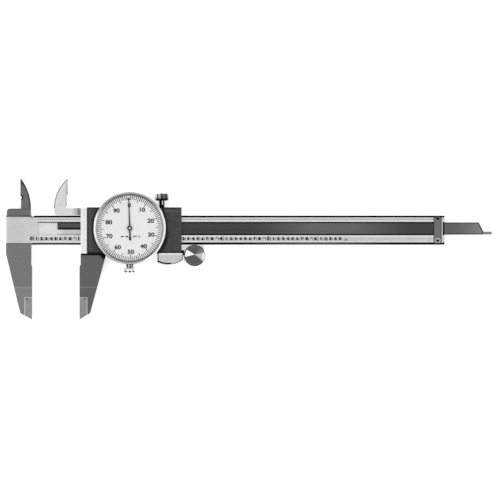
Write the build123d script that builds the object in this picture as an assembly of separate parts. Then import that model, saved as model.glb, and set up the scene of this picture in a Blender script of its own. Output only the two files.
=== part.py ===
from build123d import *
import os
from math import acos, ceil, cos, floor, hypot, pi, radians, sin, sqrt, tan

# Dial caliper lying on its back, with the dial facing up.
# X runs along the beam to the right, Y towards the inside jaws and Z towards the viewer.
# The origin is on the needle's axis, at the back of the slider. All lengths are millimetres.

# Working gaps
SLIDE_GAP = 0.05          # between the beam and the slider's passage, on every side
FIT_GAP = 0.03            # radial, round a screw or an arbor
TURN_GAP = 0.05           # radial, round a piece that the hand turns
CLOSED_GAP = 0.02         # left between the outside jaws when they are shut
STOP_GAP = 0.25           # left between the slider and the end plate at full travel

# Where the slider stands
JAW_OPENING = 25.4
NEEDLE_TO_JAW = 26.9      # needle's axis to the moving measuring face

# Beam
BEAM_HEIGHT = 15.6
BEAM_THICKNESS = 3.5
BEAM_REACH = 221.1        # fixed measuring face to the beam's free end
HEAD_WIDTH = 14.0
AXIS_BELOW_TOP = 6.75     # beam's upper edge to the needle's axis
TOP_CHAMFER = 0.6
BOTTOM_CHAMFER = 0.8
BACK_CHAMFER = 0.4
CHANNEL_HEIGHT = 7.0
CHANNEL_DEPTH = 2.3
CHANNEL_INSET = 3.42      # beam's upper edge to the channel
CHANNEL_START = 3.1       # fixed measuring face to the channel's closed end

# Slider
BACK_WALL = 1.8
FRONT_WALL = 1.6
SLIDER_LENGTH = 54.1
SLIDER_RISE = 4.05        # beam's upper edge to the slider's
SLIDER_DROP = 4.75        # beam's lower edge to the slider's
SLIDER_CHAMFER = 0.4
COVER_THICKNESS = 1.6
COVER_INSET = 3.35        # slider's left end to the cover
COVER_LIP = 0.4           # how far the cover stands past the slider's upper edge
COVER_CHAMFER = 0.3
GIB_THICKNESS = 0.85
GIB_ROOM = 0.1
GIB_END_WALL = 2.3        # wall that keeps the gib from sliding out, at each end

# Outside jaws
JAW_THICKNESS = 2.9
JAW_REACH = 40.15         # beam's lower edge to the tips
JAW_TIP_RISE = 3.45       # rise from the tip to the back corner of its slope
FIXED_TIP_WIDTH = 6.4
MOVING_TIP_WIDTH = 5.7
FIXED_HEEL_DROP = 5.05    # beam's lower edge to the top of the jaw's back slope
MOVING_HEEL_DROP = 6.15
FIXED_RELIEF = 0.4
MOVING_RELIEF = 0.6
RELIEF_DROP = 11.45       # beam's lower edge to the upper end of the measuring faces
TAPER_LENGTH = 17.3       # thinning towards the tips
TAPER_DROP = 0.3
KNIFE_WIDTH = 4.0
KNIFE_LENGTH = 11.8
KNIFE_CORNER = 1.2
KNIFE_STEP = 0.45
KNIFE_LAND = 0.8

# Inside jaws
MEASURING_OFFSET = 6.3    # outside measuring face to the inside one, on both jaws
INSIDE_JAW_RISE = 20.05   # beam's upper edge to the tips
HALF_GAP = 0.15           # between the two inside jaws, which pass each other
SHOULDER_RISE = 3.75      # beam's upper edge to the fixed shoulder's
SHOULDER_LEFT_INSET = 0.4
FIXED_BACK_INSET = 0.65   # fixed measuring face to the back of the inside jaw
FIXED_ARC = 27.2
MOVING_ARC = 21.2
ARM_RISE = 3.95           # beam's upper edge to the moving arm's
ARM_GAP = 0.25            # between the arm and the beam's upper edge
INSIDE_RELIEF = 0.55
INSIDE_RELIEF_RISE = 7.4  # arm's upper edge to the lower end of the measuring edge
NOTCH_RISE = 6.0          # shoulder's upper edge to the notch
NOTCH_RADIUS = 0.75
NOTCH_RELIEF = 0.35       # set-back of the measuring edge below the notch
BEVEL_WIDTH = 1.2
BEVEL_DROP = 0.9
ROOT_GROOVE_RADIUS = 1.0
ROOT_GROOVE_DEPTH = 0.55

# Rack and gears
RACK_PITCH = 0.635
PINION_TEETH = 16
WHEEL_TEETH = 48
CENTRE_TEETH = 12
ADDENDUM = 0.95           # tooth above and below the pitch line, in modules
DEDENDUM = 1.25
TOOTH_THINNING = 0.12     # share of the tooth left off for backlash
PINION_ROOM = 0.18        # between the pinion's teeth and the channel's lower wall
PRESSURE_ANGLE = radians(20)
RACK_START = 13.6         # fixed measuring face to the rack's plain end
RACK_PLAIN = 2.4
RACK_THICKNESS = 1.1
RACK_END_SPARE = 4.0
PINION_FACE = 1.1
WHEEL_FACE = 0.5
WHEEL_SPLIT = 0.1         # between the two wheels
ARBOR_RADIUS = 0.7
NEEDLE_ARBOR_RADIUS = 0.5

# Movement frame
MOVEMENT_LENGTH = 19.0
MOVEMENT_HEIGHT = 15.0
MOVEMENT_CENTRE_X = -2.5
MOVEMENT_CORNER = 2.0
MOVEMENT_ROOM = 0.1       # round the lower plate in its recess
OPENING_ROOM = 0.3        # round the movement in the cover and in the case floor
RECESS_FLOOR = 0.6        # wall left under the movement
UPPER_PLATE_SMALLER = 1.0
UPPER_PLATE_THICKNESS = 0.8
PILLAR_RADIUS = 1.1
PILLAR_INSET = (2.2, 2.3)   # from the lower plate's corners, along X and Y
PLATE_SCREW_INSET = (1.4, 1.6)
PINION_HOLE_ROOM = 0.48   # round the pinion, in the slider's front wall
WHEEL_HOLE_RADIUS = 0.9
WHEEL_HOLE_PLACE = 0.55   # share of the wheel's radius
SPRING_BAND = (1.5, 1.9)
SPRING_OPENING = 0.5
END_SHAKE = 0.1           # along the arbors

# Dial, case and bezel
BEZEL_RADIUS = 19.45
BEZEL_WALL = 1.45
LIP_WIDTH = 0.4           # lip over the crystal's edge
BEZEL_CASE_GAP = 0.4      # between the bezel's bore and the case
CASE_WALL = 1.3
CASE_FLOOR = 1.0
CASE_WALL_HEIGHT = 1.1
SKIRT_GAP = 0.1           # between the clamp arm and the bezel's skirt
DIAL_PLAY = 0.1           # between the bezel's bore and the dial
DIAL_THICKNESS = 0.5
DIAL_HOLE = 1.0
DIAL_LEVEL = 1.8          # case floor to the back of the dial
SPACER_HEIGHT = 1.2
SPACER_WIDTH = 0.5
CRYSTAL_EDGE = 0.7
CRYSTAL_DOME = 0.5
LIP_HEIGHT = 0.9
RING_THICKNESS = 0.3
RING_GROOVE_PLAY = 0.05
RING_BITE = 0.2           # of both spring rings in the bezel
RING_OPENING = 3.0
SNAP_BITE = 0.4           # of the snap ring in the case
SNAP_LEVEL = 0.4          # case floor to the snap ring
KEEPER_HOLD = 1.0         # of the keeper ring under the dial
KEEPER_THICKNESS = 0.4
CASE_SCREW_ANGLES = (40, -40, 180)
NEEDLE_SHORTER = 1.4      # than the radius of the bezel's lip
NEEDLE_TURN = 2.0         # anticlockwise from straight up, in degrees
NEEDLE_TAIL = 6.5
NEEDLE_GAP = 0.3          # between the dial and the needle
HUB_GAP = 0.1
NEEDLE_THICKNESS = 0.25
NEEDLE_ROOT = 0.8
NEEDLE_POINT = 0.35
TAIL_WEIGHT_START = 4.7
TAIL_WEIGHT_WIDTH = 1.1
HUB_RADIUS = 1.35
HUB_HEIGHT = 0.8

# Bezel clamp
CLAMP_ARM_WIDTH = 4.0
CLAMP_ARM_THICKNESS = 0.8
CLAMP_BOSS_GAP = 0.15     # between the bezel and the boss
CLAMP_BOSS_RADII = (2.2, 1.5)
CLAMP_BOSS_LENGTH = 1.7
CLAMP_HEIGHT = 1.5        # clamp screw's axis above the bezel's skirt
CLAMP_SHANK = 0.9
CLAMP_HEAD_RADIUS = 3.3
CLAMP_HEAD_LENGTH = 2.6
CLAMP_HEAD_GAP = 0.1      # between the boss and the head

# Lock screw and gib screws
KNOB_RIM = 0.16           # rounding of a knob's rims, as a share of its length
FLUTE_DEPTH = 0.2
LOCK_FLUTES = 16
CLAMP_FLUTES = 14
LOCK_INSET = 10.6         # slider's right end to the lock screw
LOCK_STEM = 1.45
LOCK_TIP_GAP = 0.3
LOCK_HEAD_RADIUS = 3.57   # keeps the head just clear of the table
LOCK_HEAD_LENGTH = 3.85
LOCK_STAND = 3.95         # bare stem between the slider and the head
GIB_SCREW_INSETS = (12.3, 18.8)   # from the slider's left and right ends
GIB_SCREW_RADIUS = 0.9
GIB_SCREW_SUNK = 0.2
GIB_SCREW_SLOT = 0.4

# Depth bar and end plate
DEPTH_BAR_INSIDE = 26.8   # length under the slider
DEPTH_BAR_THICKNESS = 0.9
DEPTH_BAR_SIDE_GAP = 0.25
DEPTH_BAR_RACK_GAP = 0.15
DEPTH_BAR_END_SLOPE = 2.4
DEPTH_TONGUE_LENGTH = 4.6
DEPTH_TONGUE_HEIGHT = 1.66
DEPTH_BAR_SCREW_INSETS = (12.8, 4.8)
DEPTH_PAD_INSETS = (15.8, 1.8)
END_PLATE_WIDTH = 4.5
END_PLATE_THICKNESS = 0.8
END_PLATE_INSET = 1.35
END_PLATE_EDGES = (0.9, 0.1)     # inside the beam's lower and upper edges
END_LIP = (0.6, 0.3, 1.15)       # width and thickness of the step on its right, inside the beam's edges
END_PLATE_CHAMFER = 0.15

# Thumb rest and roller
REST_PAST_SLIDER = 0.6
REST_LENGTH = 13.5
REST_DROPS = (4.8, 6.1, 3.3)   # below the slider: left end, lowest place, right end
REST_LOW_PLACE = 5.6      # rest's left end to its lowest place
REST_BACK = 1.0
REST_FRONT = 6.4
REST_GROOVES = 8
REST_GROOVE_RADIUS = 0.4
REST_GROOVE_SHARE = (0.06, 0.58)
BRACKET_THICKNESS = 1.2
BRACKET_LENGTH = 8.3      # length under the slider
BRACKET_INSETS = (0.2, 0.9)   # above the slider's lower edge, and below the passage
BRACKET_BEAM_GAP = 0.55
BRACKET_RADIUS = 4.95
BRACKET_SCREW_INSETS = (6.3, 2.0)
ROLLER_OUT = 7.05         # slider's right end to the roller's axis
ROLLER_RADIUS = 5.73
ROLLER_BACK = 1.9
ROLLER_THICKNESS = 4.5
ROLLER_GROOVES = 48
ROLLER_GROOVE_DEPTH = 0.15
ROLLER_GROOVE_WIDTH = 0.6
ROLLER_CHAMFER = 0.4
ROLLER_FRONT_WALL = 1.0
AXLE_RADIUS = 1.5
AXLE_COLLAR_RADIUS = 2.6
AXLE_TOP_GAP = 0.2
CLIP_THICKNESS = 0.3
CLIP_BITE = 0.25          # of the clip in the axle
CLIP_STAND = 0.35         # of the clip round the axle
CLIP_DROP = 1.2           # roller's blind end to the clip
CLIP_OPENING = 0.8

# Small screws: head radius, head height, shank radius
SCREW_SLOT_WIDTH = 0.3
SCREW_SLOT_DEPTH = 0.25
HOLE_SPARE = 0.1          # how much deeper than its screw a blind hole is
CASE_SCREW = (1.1, 0.5, 0.6)
CASE_SCREW_BITE = 0.7     # in the slider
COVER_SCREW = (1.3, 0.8, 0.8)
COVER_SCREW_BITE = 1.0    # in the cover
COVER_SCREW_SUNK = 0.2
COVER_SCREW_INSETS = (5.3, 2.3, 12.8)   # left end, right end above, right end below
COVER_SCREW_EDGES = (1.6, 2.2)   # slider's upper and lower edge
MOVEMENT_SCREW = (1.1, 0.5, 0.5)
MOVEMENT_SCREW_BITE = 0.9
PLATE_SCREW = (0.9, 0.4, 0.5)
RACK_SCREW = (0.9, 0.5, 0.5)
RACK_SCREW_BITE = 0.4
RACK_SCREW_INSETS = (1.2, 0.3)   # rack's plain end to the first screw, channel's wall to a head
RACK_SCREW_SPACING = 41.0
BAR_SCREW = (1.0, 0.6, 0.55)
END_SCREW = (1.05, 0.45, 0.55)
END_SCREW_BITE = 1.6
END_SCREW_INSETS = (1.55, 2.2)
BRACKET_SCREW = (1.1, 0.5, 0.6)
BRACKET_SCREW_SUNK = 0.1
BRACKET_SCREW_BITE = 1.9

# Levels worked out from the sizes above
BEAM_BACK = BACK_WALL + SLIDE_GAP
BEAM_FRONT = BEAM_BACK + BEAM_THICKNESS
BEAM_MIDDLE = (BEAM_BACK + BEAM_FRONT) / 2
PASSAGE_FRONT = BEAM_FRONT + SLIDE_GAP
SLIDER_FRONT = PASSAGE_FRONT + FRONT_WALL
COVER_FRONT = SLIDER_FRONT + COVER_THICKNESS
CHANNEL_FLOOR = BEAM_FRONT - CHANNEL_DEPTH
RACK_FRONT = CHANNEL_FLOOR + RACK_THICKNESS
DEPTH_BAR_BACK = RACK_FRONT + DEPTH_BAR_RACK_GAP
DEPTH_BAR_FRONT = DEPTH_BAR_BACK + DEPTH_BAR_THICKNESS
JAW_BACK = BEAM_MIDDLE - JAW_THICKNESS / 2
JAW_FRONT = BEAM_MIDDLE + JAW_THICKNESS / 2
RECESS_LEVEL = PASSAGE_FRONT + RECESS_FLOOR
PLATE_FRONT = SLIDER_FRONT
WHEEL_BACK = PLATE_FRONT + PLATE_SCREW[1] + END_SHAKE
SECOND_WHEEL_BACK = WHEEL_BACK + WHEEL_FACE + WHEEL_SPLIT
WHEELS_FRONT = SECOND_WHEEL_BACK + WHEEL_FACE
UPPER_PLATE_BACK = WHEELS_FRONT + RING_THICKNESS + 2 * END_SHAKE
PILLAR_LENGTH = UPPER_PLATE_BACK - PLATE_FRONT
UPPER_PLATE_FRONT = UPPER_PLATE_BACK + UPPER_PLATE_THICKNESS
CASE_FLOOR_FRONT = COVER_FRONT + CASE_FLOOR
CASE_TOP = CASE_FLOOR_FRONT + CASE_WALL_HEIGHT
DIAL_BACK = CASE_FLOOR_FRONT + DIAL_LEVEL
DIAL_FRONT = DIAL_BACK + DIAL_THICKNESS
CRYSTAL_BACK = DIAL_FRONT + SPACER_HEIGHT
CRYSTAL_FRONT = CRYSTAL_BACK + CRYSTAL_EDGE
BEZEL_FRONT = CRYSTAL_FRONT + LIP_HEIGHT
SKIRT = COVER_FRONT + CLAMP_ARM_THICKNESS + SKIRT_GAP
CLAMP_Z = SKIRT + CLAMP_HEIGHT

# Places worked out from the sizes above
MOVING_FACE = -NEEDLE_TO_JAW
FIXED_FACE = MOVING_FACE - JAW_OPENING
BEAM_LEFT = FIXED_FACE - HEAD_WIDTH
BEAM_RIGHT = FIXED_FACE + BEAM_REACH
BEAM_TOP = AXIS_BELOW_TOP
BEAM_BOTTOM = BEAM_TOP - BEAM_HEIGHT
CHANNEL_TOP = BEAM_TOP - CHANNEL_INSET
CHANNEL_BOTTOM = CHANNEL_TOP - CHANNEL_HEIGHT
CHANNEL_LEFT = FIXED_FACE + CHANNEL_START
SLIDER_LEFT = MOVING_FACE + MOVING_RELIEF
SLIDER_RIGHT = SLIDER_LEFT + SLIDER_LENGTH
COVER_LEFT = SLIDER_LEFT + COVER_INSET
SLIDER_TOP = BEAM_TOP + SLIDER_RISE
SLIDER_BOTTOM = BEAM_BOTTOM - SLIDER_DROP
PASSAGE_TOP = BEAM_TOP + SLIDE_GAP
PASSAGE_BOTTOM = BEAM_BOTTOM - SLIDE_GAP
JAW_TIP_Y = BEAM_BOTTOM - JAW_REACH
FIXED_HEEL_Y = BEAM_BOTTOM - FIXED_HEEL_DROP
MOVING_HEEL_Y = BEAM_BOTTOM - MOVING_HEEL_DROP
RELIEF_Y = BEAM_BOTTOM - RELIEF_DROP
TAPER_Y = JAW_TIP_Y + TAPER_LENGTH
INSIDE_TIP_Y = BEAM_TOP + INSIDE_JAW_RISE
SHOULDER_TOP = BEAM_TOP + SHOULDER_RISE
ARM_TOP = BEAM_TOP + ARM_RISE
NOTCH_Y = SHOULDER_TOP + NOTCH_RISE
INSIDE_RELIEF_Y = ARM_TOP + INSIDE_RELIEF_RISE
GIB_TOP = PASSAGE_TOP + GIB_THICKNESS
GIB_POCKET_TOP = GIB_TOP + GIB_ROOM
END_PLATE_RIGHT = BEAM_RIGHT - END_PLATE_INSET
END_PLATE_LEFT = END_PLATE_RIGHT - END_PLATE_WIDTH
MAX_TRAVEL = END_PLATE_LEFT - STOP_GAP - SLIDER_RIGHT
MODULE = RACK_PITCH / pi
PINION_RADIUS = MODULE * PINION_TEETH / 2
WHEEL_RADIUS = MODULE * WHEEL_TEETH / 2
CENTRE_RADIUS = MODULE * CENTRE_TEETH / 2
PINION_Y = CHANNEL_BOTTOM + PINION_ROOM + PINION_RADIUS + ADDENDUM * MODULE
PITCH_LINE = PINION_Y + PINION_RADIUS
PINION_X = -sqrt((WHEEL_RADIUS + CENTRE_RADIUS) ** 2 - PINION_Y ** 2)
PINION_HOLE_RADIUS = PINION_RADIUS + MODULE + PINION_HOLE_ROOM
MOVEMENT_LEFT = MOVEMENT_CENTRE_X - MOVEMENT_LENGTH / 2
MOVEMENT_RIGHT = MOVEMENT_CENTRE_X + MOVEMENT_LENGTH / 2
MOVEMENT_TOP = MOVEMENT_HEIGHT / 2
PILLARS = [(MOVEMENT_RIGHT - PILLAR_INSET[0], MOVEMENT_TOP - PILLAR_INSET[1]),
           (MOVEMENT_RIGHT - PILLAR_INSET[0], PILLAR_INSET[1] - MOVEMENT_TOP),
           (MOVEMENT_LEFT + PILLAR_INSET[0], MOVEMENT_TOP - PILLAR_INSET[1])]
PLATE_SCREWS = [(MOVEMENT_LEFT + PLATE_SCREW_INSET[0], PLATE_SCREW_INSET[1] - MOVEMENT_TOP),
                (MOVEMENT_RIGHT - PLATE_SCREW_INSET[1], 0)]
BEZEL_BORE = BEZEL_RADIUS - BEZEL_WALL
LIP_BORE = BEZEL_BORE - LIP_WIDTH
CASE_RADIUS = BEZEL_BORE - BEZEL_CASE_GAP
CASE_BORE = CASE_RADIUS - CASE_WALL
DIAL_RADIUS = BEZEL_BORE - DIAL_PLAY
SNAP_BAND = (CASE_RADIUS - SNAP_BITE, BEZEL_BORE + RING_BITE)
KEEPER_BAND = (DIAL_RADIUS - KEEPER_HOLD, BEZEL_BORE + RING_BITE)
CASE_SCREW_CIRCLE = (CASE_BORE - MOVEMENT_LEFT) / 2
CASE_SCREWS = [(CASE_SCREW_CIRCLE * cos(radians(a)), CASE_SCREW_CIRCLE * sin(radians(a)))
               for a in CASE_SCREW_ANGLES]
NEEDLE_LENGTH = LIP_BORE - NEEDLE_SHORTER
BOSS_START = -BEZEL_RADIUS - CLAMP_BOSS_GAP
BOSS_END = BOSS_START - CLAMP_BOSS_LENGTH
LOCK_X = SLIDER_RIGHT - LOCK_INSET
GIB_SCREWS_X = (SLIDER_LEFT + GIB_SCREW_INSETS[0], SLIDER_RIGHT - GIB_SCREW_INSETS[1])
COVER_SCREWS = [(SLIDER_LEFT + COVER_SCREW_INSETS[0], SLIDER_TOP - COVER_SCREW_EDGES[0]),
                (SLIDER_RIGHT - COVER_SCREW_INSETS[1], SLIDER_TOP - COVER_SCREW_EDGES[0]),
                (SLIDER_LEFT + COVER_SCREW_INSETS[0], SLIDER_BOTTOM + COVER_SCREW_EDGES[1]),
                (SLIDER_RIGHT - COVER_SCREW_INSETS[2], SLIDER_BOTTOM + COVER_SCREW_EDGES[1])]
DEPTH_BAR_START = SLIDER_RIGHT - DEPTH_BAR_INSIDE
DEPTH_BAR_END = BEAM_RIGHT + JAW_OPENING
DEPTH_BAR_LOW = CHANNEL_BOTTOM + DEPTH_BAR_SIDE_GAP
DEPTH_BAR_HIGH = CHANNEL_TOP - DEPTH_BAR_SIDE_GAP
REST_RIGHT = SLIDER_RIGHT + REST_PAST_SLIDER
REST_LEFT = REST_RIGHT - REST_LENGTH
BRACKET_BAND = (SLIDER_BOTTOM + BRACKET_INSETS[0], PASSAGE_BOTTOM - BRACKET_INSETS[1])
ROLLER_X = SLIDER_RIGHT + ROLLER_OUT
ROLLER_Y = BEAM_BOTTOM - SLIDE_GAP - ROLLER_RADIUS
ROLLER_FRONT = ROLLER_BACK + ROLLER_THICKNESS

UPRIGHT = (Align.CENTER, Align.CENTER, Align.MIN)


def block(x, y, z):
    """Rectangular block between a low and a high limit on each axis."""
    size = [limits[1] - limits[0] for limits in (x, y, z)]
    return Pos(x[0], y[0], z[0]) * Box(*size, align=(Align.MIN,) * 3)


def plate(outline, z):
    """Flat plate with a closed outline, between two levels."""
    return Pos(0, 0, z[0]) * extrude(make_face(outline), z[1] - z[0], dir=(0, 0, 1))


def prism_x(points, x):
    """Straight bar along X with a section of (y, z) points."""
    face = Plane.YZ * make_face(Polyline(*points, close=True))
    return Pos(x[0], 0, 0) * extrude(face, x[1] - x[0], dir=(1, 0, 0))


def prism_y(points, y):
    """Straight bar along Y with a section of (x, z) points."""
    face = Plane.XZ * make_face(Polyline(*points, close=True))
    return Pos(0, y[0], 0) * extrude(face, y[1] - y[0], dir=(0, 1, 0))


def post(centre, radius, z):
    """Upright cylinder at an (x, y) centre, between two levels."""
    return Pos(centre[0], centre[1], z[0]) * Cylinder(radius, z[1] - z[0], align=UPRIGHT)


def rod(x, z, radius, y):
    """Cylinder along Y at an (x, z) centre, between two places."""
    return Pos(x, y[0], z) * Rot(-90, 0, 0) * Cylinder(radius, y[1] - y[0], align=UPRIGHT)


def turned(points):
    """Solid turned about the needle's axis, from (radius, z) points."""
    return revolve(Plane.XZ * make_face(Polyline(*points, close=True)), Axis.Z)


def ring(inner, outer, z, centre=(0, 0)):
    """Flat ring between two levels."""
    return post(centre, outer, z) - post(centre, inner, z)


def open_ring(band, z, gap, centre=(0, 0)):
    """Spring ring with a gap across its right side."""
    slot = block((0, 2 * band[1]), (-gap / 2, gap / 2), z)
    return ring(band[0], band[1], z, centre) - Pos(centre[0], centre[1], 0) * slot


def rounded_plate(length, height, corner, centre_x, z):
    """Plate with rounded corners, centred on the needle's height."""
    sketch = Pos(centre_x, 0, z[0]) * RectangleRounded(length, height, corner)
    return extrude(sketch, z[1] - z[0], dir=(0, 0, 1))


def screw(sizes, length):
    """Slotted screw: the seat of its head is at z = 0 and its shank points down."""
    head_radius, head_height, shank_radius = sizes
    body = post((0, 0), head_radius, (0, head_height)) + post((0, 0), shank_radius, (-length, 0))
    half_slot = SCREW_SLOT_WIDTH / 2
    slot = block((-head_radius, head_radius), (-half_slot, half_slot),
                 (head_height - SCREW_SLOT_DEPTH, head_height))
    return body - slot


def screw_room(sizes, length, above=2.0):
    """Counterbore and hole that a screw's head and shank fill."""
    head_radius, _, shank_radius = sizes
    room = post((0, 0), shank_radius + FIT_GAP, (-length, 0))
    if above:
        room += post((0, 0), head_radius + FIT_GAP, (0, above))
    return room


def at_places(shape, places, z, from_back=False):
    """Copies of a shape at (x, y) places on one level, turned over if it enters from the back."""
    turn = Rot(180, 0, 0) if from_back else Rot(0, 0, 0)
    return [Pos(x, y, z) * turn * shape for x, y in places]


def fluted_head(radius, length, flutes):
    """Knurled knob head along Z with rounded rims and flutes cut round it."""
    rim = length * KNOB_RIM
    head = Cylinder(radius, length, align=UPRIGHT)
    head = chamfer(head.edges().filter_by(GeomType.CIRCLE), rim)
    cutter = Pos(radius + FLUTE_DEPTH, 0, 0) * Cylinder(2 * FLUTE_DEPTH, length, align=UPRIGHT)
    return head - [Rot(0, 0, 360 * i / flutes) * cutter for i in range(flutes)]


def tooth_half_angle(teeth, pitch_radius, radius):
    """Half the angle that an involute tooth takes up at a radius."""
    base = pitch_radius * cos(PRESSURE_ANGLE)
    slope = acos(min(1.0, base / radius))
    at_pitch = pi / 2 / teeth * (1 - TOOTH_THINNING)
    return at_pitch + (tan(PRESSURE_ANGLE) - PRESSURE_ANGLE) - (tan(slope) - slope)


def gear(teeth, first_tooth, z, centre, flank_steps):
    """Spur gear with its first tooth centred at an angle in radians."""
    pitch_radius = MODULE * teeth / 2
    root = pitch_radius - DEDENDUM * MODULE
    tip = pitch_radius + ADDENDUM * MODULE
    radii = [root + (tip - root) * i / flank_steps for i in range(flank_steps + 1)]
    flank = [(r, tooth_half_angle(teeth, pitch_radius, r)) for r in radii]
    points = []
    for tooth in range(teeth):
        middle = first_tooth + 2 * pi * tooth / teeth
        polar = [(r, middle - a) for r, a in flank] + [(r, middle + a) for r, a in reversed(flank)]
        points += [(r * cos(a), r * sin(a)) for r, a in polar]
    return Pos(centre[0], centre[1], 0) * plate(Polyline(*points, close=True), z)


def outside_jaw(face, side, relief, heel_y, tip_width, root_y):
    """Tapered outside jaw with a knife-edged tip; side is -1 to the left of its face, 1 to the right."""
    outline = [
        (relief, root_y), (relief, RELIEF_Y + relief), (0, RELIEF_Y), (0, JAW_TIP_Y),
        (tip_width, JAW_TIP_Y + JAW_TIP_RISE), (HEAD_WIDTH, heel_y), (HEAD_WIDTH, root_y),
    ]
    places = [(face + side * depth, y) for depth, y in outline]
    jaw = plate(Polyline(*places, close=True), (JAW_BACK, JAW_FRONT))
    far = face + side * HEAD_WIDTH
    knife_size = (2 * KNIFE_WIDTH, 2 * KNIFE_LENGTH)
    window = Pos(face, JAW_TIP_Y, 0) * RectangleRounded(*knife_size, KNIFE_CORNER)
    window = extrude(window, SLIDER_FRONT, dir=(0, 0, 1))
    for out, level in ((-1, JAW_BACK), (1, JAW_FRONT)):
        thin = level - out * TAPER_DROP
        taper = [(TAPER_Y, level), (JAW_TIP_Y, thin), (JAW_TIP_Y, level + out), (TAPER_Y, level + out)]
        jaw -= prism_x(taper, (min(face, far), max(face, far)))
        land = BEAM_MIDDLE + out * KNIFE_LAND / 2
        knife_back = face + side * KNIFE_WIDTH
        knife = [(face, land), (knife_back, level - out * KNIFE_STEP),
                 (knife_back, level + out), (face, level + out)]
        jaw -= prism_y(knife, (JAW_TIP_Y, JAW_TIP_Y + KNIFE_LENGTH)) & window
    return jaw


def jaw_bevel(edge, side, level, out, y):
    """Wedge that thins an inside jaw towards its measuring edge."""
    back = edge + side * BEVEL_WIDTH
    section = [(edge, level - out * BEVEL_DROP), (back, level), (back, level + out),
               (edge - side, level + out), (edge - side, level - out * BEVEL_DROP)]
    return prism_y(section, y)


def arc_through(centre, radius, start, end):
    """Arc of a known circle between two places on it."""
    middle = Vector((start[0] + end[0]) / 2, (start[1] + end[1]) / 2)
    out = (middle - Vector(*centre)).normalized() * radius
    return ThreePointArc(start, Vector(*centre) + out, end)


def fixed_inside_jaw():
    """Back half of the inside jaws, with the shoulder that carries it on the beam's head."""
    edge = FIXED_FACE - MEASURING_OFFSET
    back = FIXED_FACE - FIXED_BACK_INSET
    centre = (back - FIXED_ARC, SHOULDER_TOP)
    tip = (edge, SHOULDER_TOP + sqrt(FIXED_ARC ** 2 - (edge - centre[0]) ** 2))
    left = BEAM_LEFT + SHOULDER_LEFT_INSET
    root = BEAM_TOP - TOP_CHAMFER - BACK_CHAMFER
    outline = [
        arc_through(centre, FIXED_ARC, (back, SHOULDER_TOP), tip),
        Polyline(tip, (edge, NOTCH_Y), (edge + NOTCH_RELIEF, NOTCH_Y), (edge + NOTCH_RELIEF, SHOULDER_TOP),
                 (left + 1, SHOULDER_TOP), (left, SHOULDER_TOP - 1),
                 (left, root), (back, root), (back, SHOULDER_TOP)),
    ]
    half_front = BEAM_MIDDLE - HALF_GAP / 2
    jaw = plate(outline, (BEAM_BACK, half_front))
    jaw -= post((edge, NOTCH_Y), NOTCH_RADIUS, (BEAM_BACK, half_front))
    return jaw - jaw_bevel(edge, 1, BEAM_BACK, -1, (SHOULDER_TOP + BEVEL_WIDTH, INSIDE_TIP_Y + 1))


def moving_inside_jaw():
    """Front half of the inside jaws, on the arm that passes over the fixed shoulder."""
    edge = MOVING_FACE - MEASURING_OFFSET
    centre = (edge + sqrt(MOVING_ARC ** 2 - (INSIDE_TIP_Y - ARM_TOP) ** 2), ARM_TOP)
    tip = (edge, INSIDE_TIP_Y)
    left = centre[0] - MOVING_ARC
    bottom = BEAM_TOP + ARM_GAP
    inside = SLIDER_LEFT + GIB_END_WALL / 2
    relieved = edge - INSIDE_RELIEF
    outline = [
        arc_through(centre, MOVING_ARC, (left, ARM_TOP), tip),
        Polyline(tip, (edge, INSIDE_RELIEF_Y), (relieved, INSIDE_RELIEF_Y - INSIDE_RELIEF),
                 (relieved, ARM_TOP), (inside, ARM_TOP), (inside, bottom),
                 (left + 0.5, bottom), (left, ARM_TOP)),
    ]
    half_back = BEAM_MIDDLE + HALF_GAP / 2
    jaw = plate(outline, (half_back, BEAM_FRONT))
    return jaw - jaw_bevel(edge, -1, BEAM_FRONT, 1, (ARM_TOP + BEVEL_WIDTH, INSIDE_TIP_Y + 2))


def rack_screw_places():
    """Centres of the rack's screws, clear of its teeth."""
    first = FIXED_FACE + RACK_START + RACK_SCREW_INSETS[0]
    y = CHANNEL_TOP - RACK_SCREW[0] - RACK_SCREW_INSETS[1]
    count = floor((rack_right() - first - 2) / RACK_SCREW_SPACING) + 1
    return [(first + RACK_SCREW_SPACING * i, y) for i in range(count)]


def end_screw_places():
    """Centres of the end plate's two screws, in the strips above and below the channel."""
    x = (END_PLATE_LEFT + END_PLATE_RIGHT) / 2
    return [(x, BEAM_TOP - END_SCREW_INSETS[0]), (x, BEAM_BOTTOM + END_SCREW_INSETS[1])]


def rack_right():
    """Right end of the rack: the pinion's furthest place, and a little spare."""
    return PINION_X + MAX_TRAVEL + RACK_END_SPARE


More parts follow.
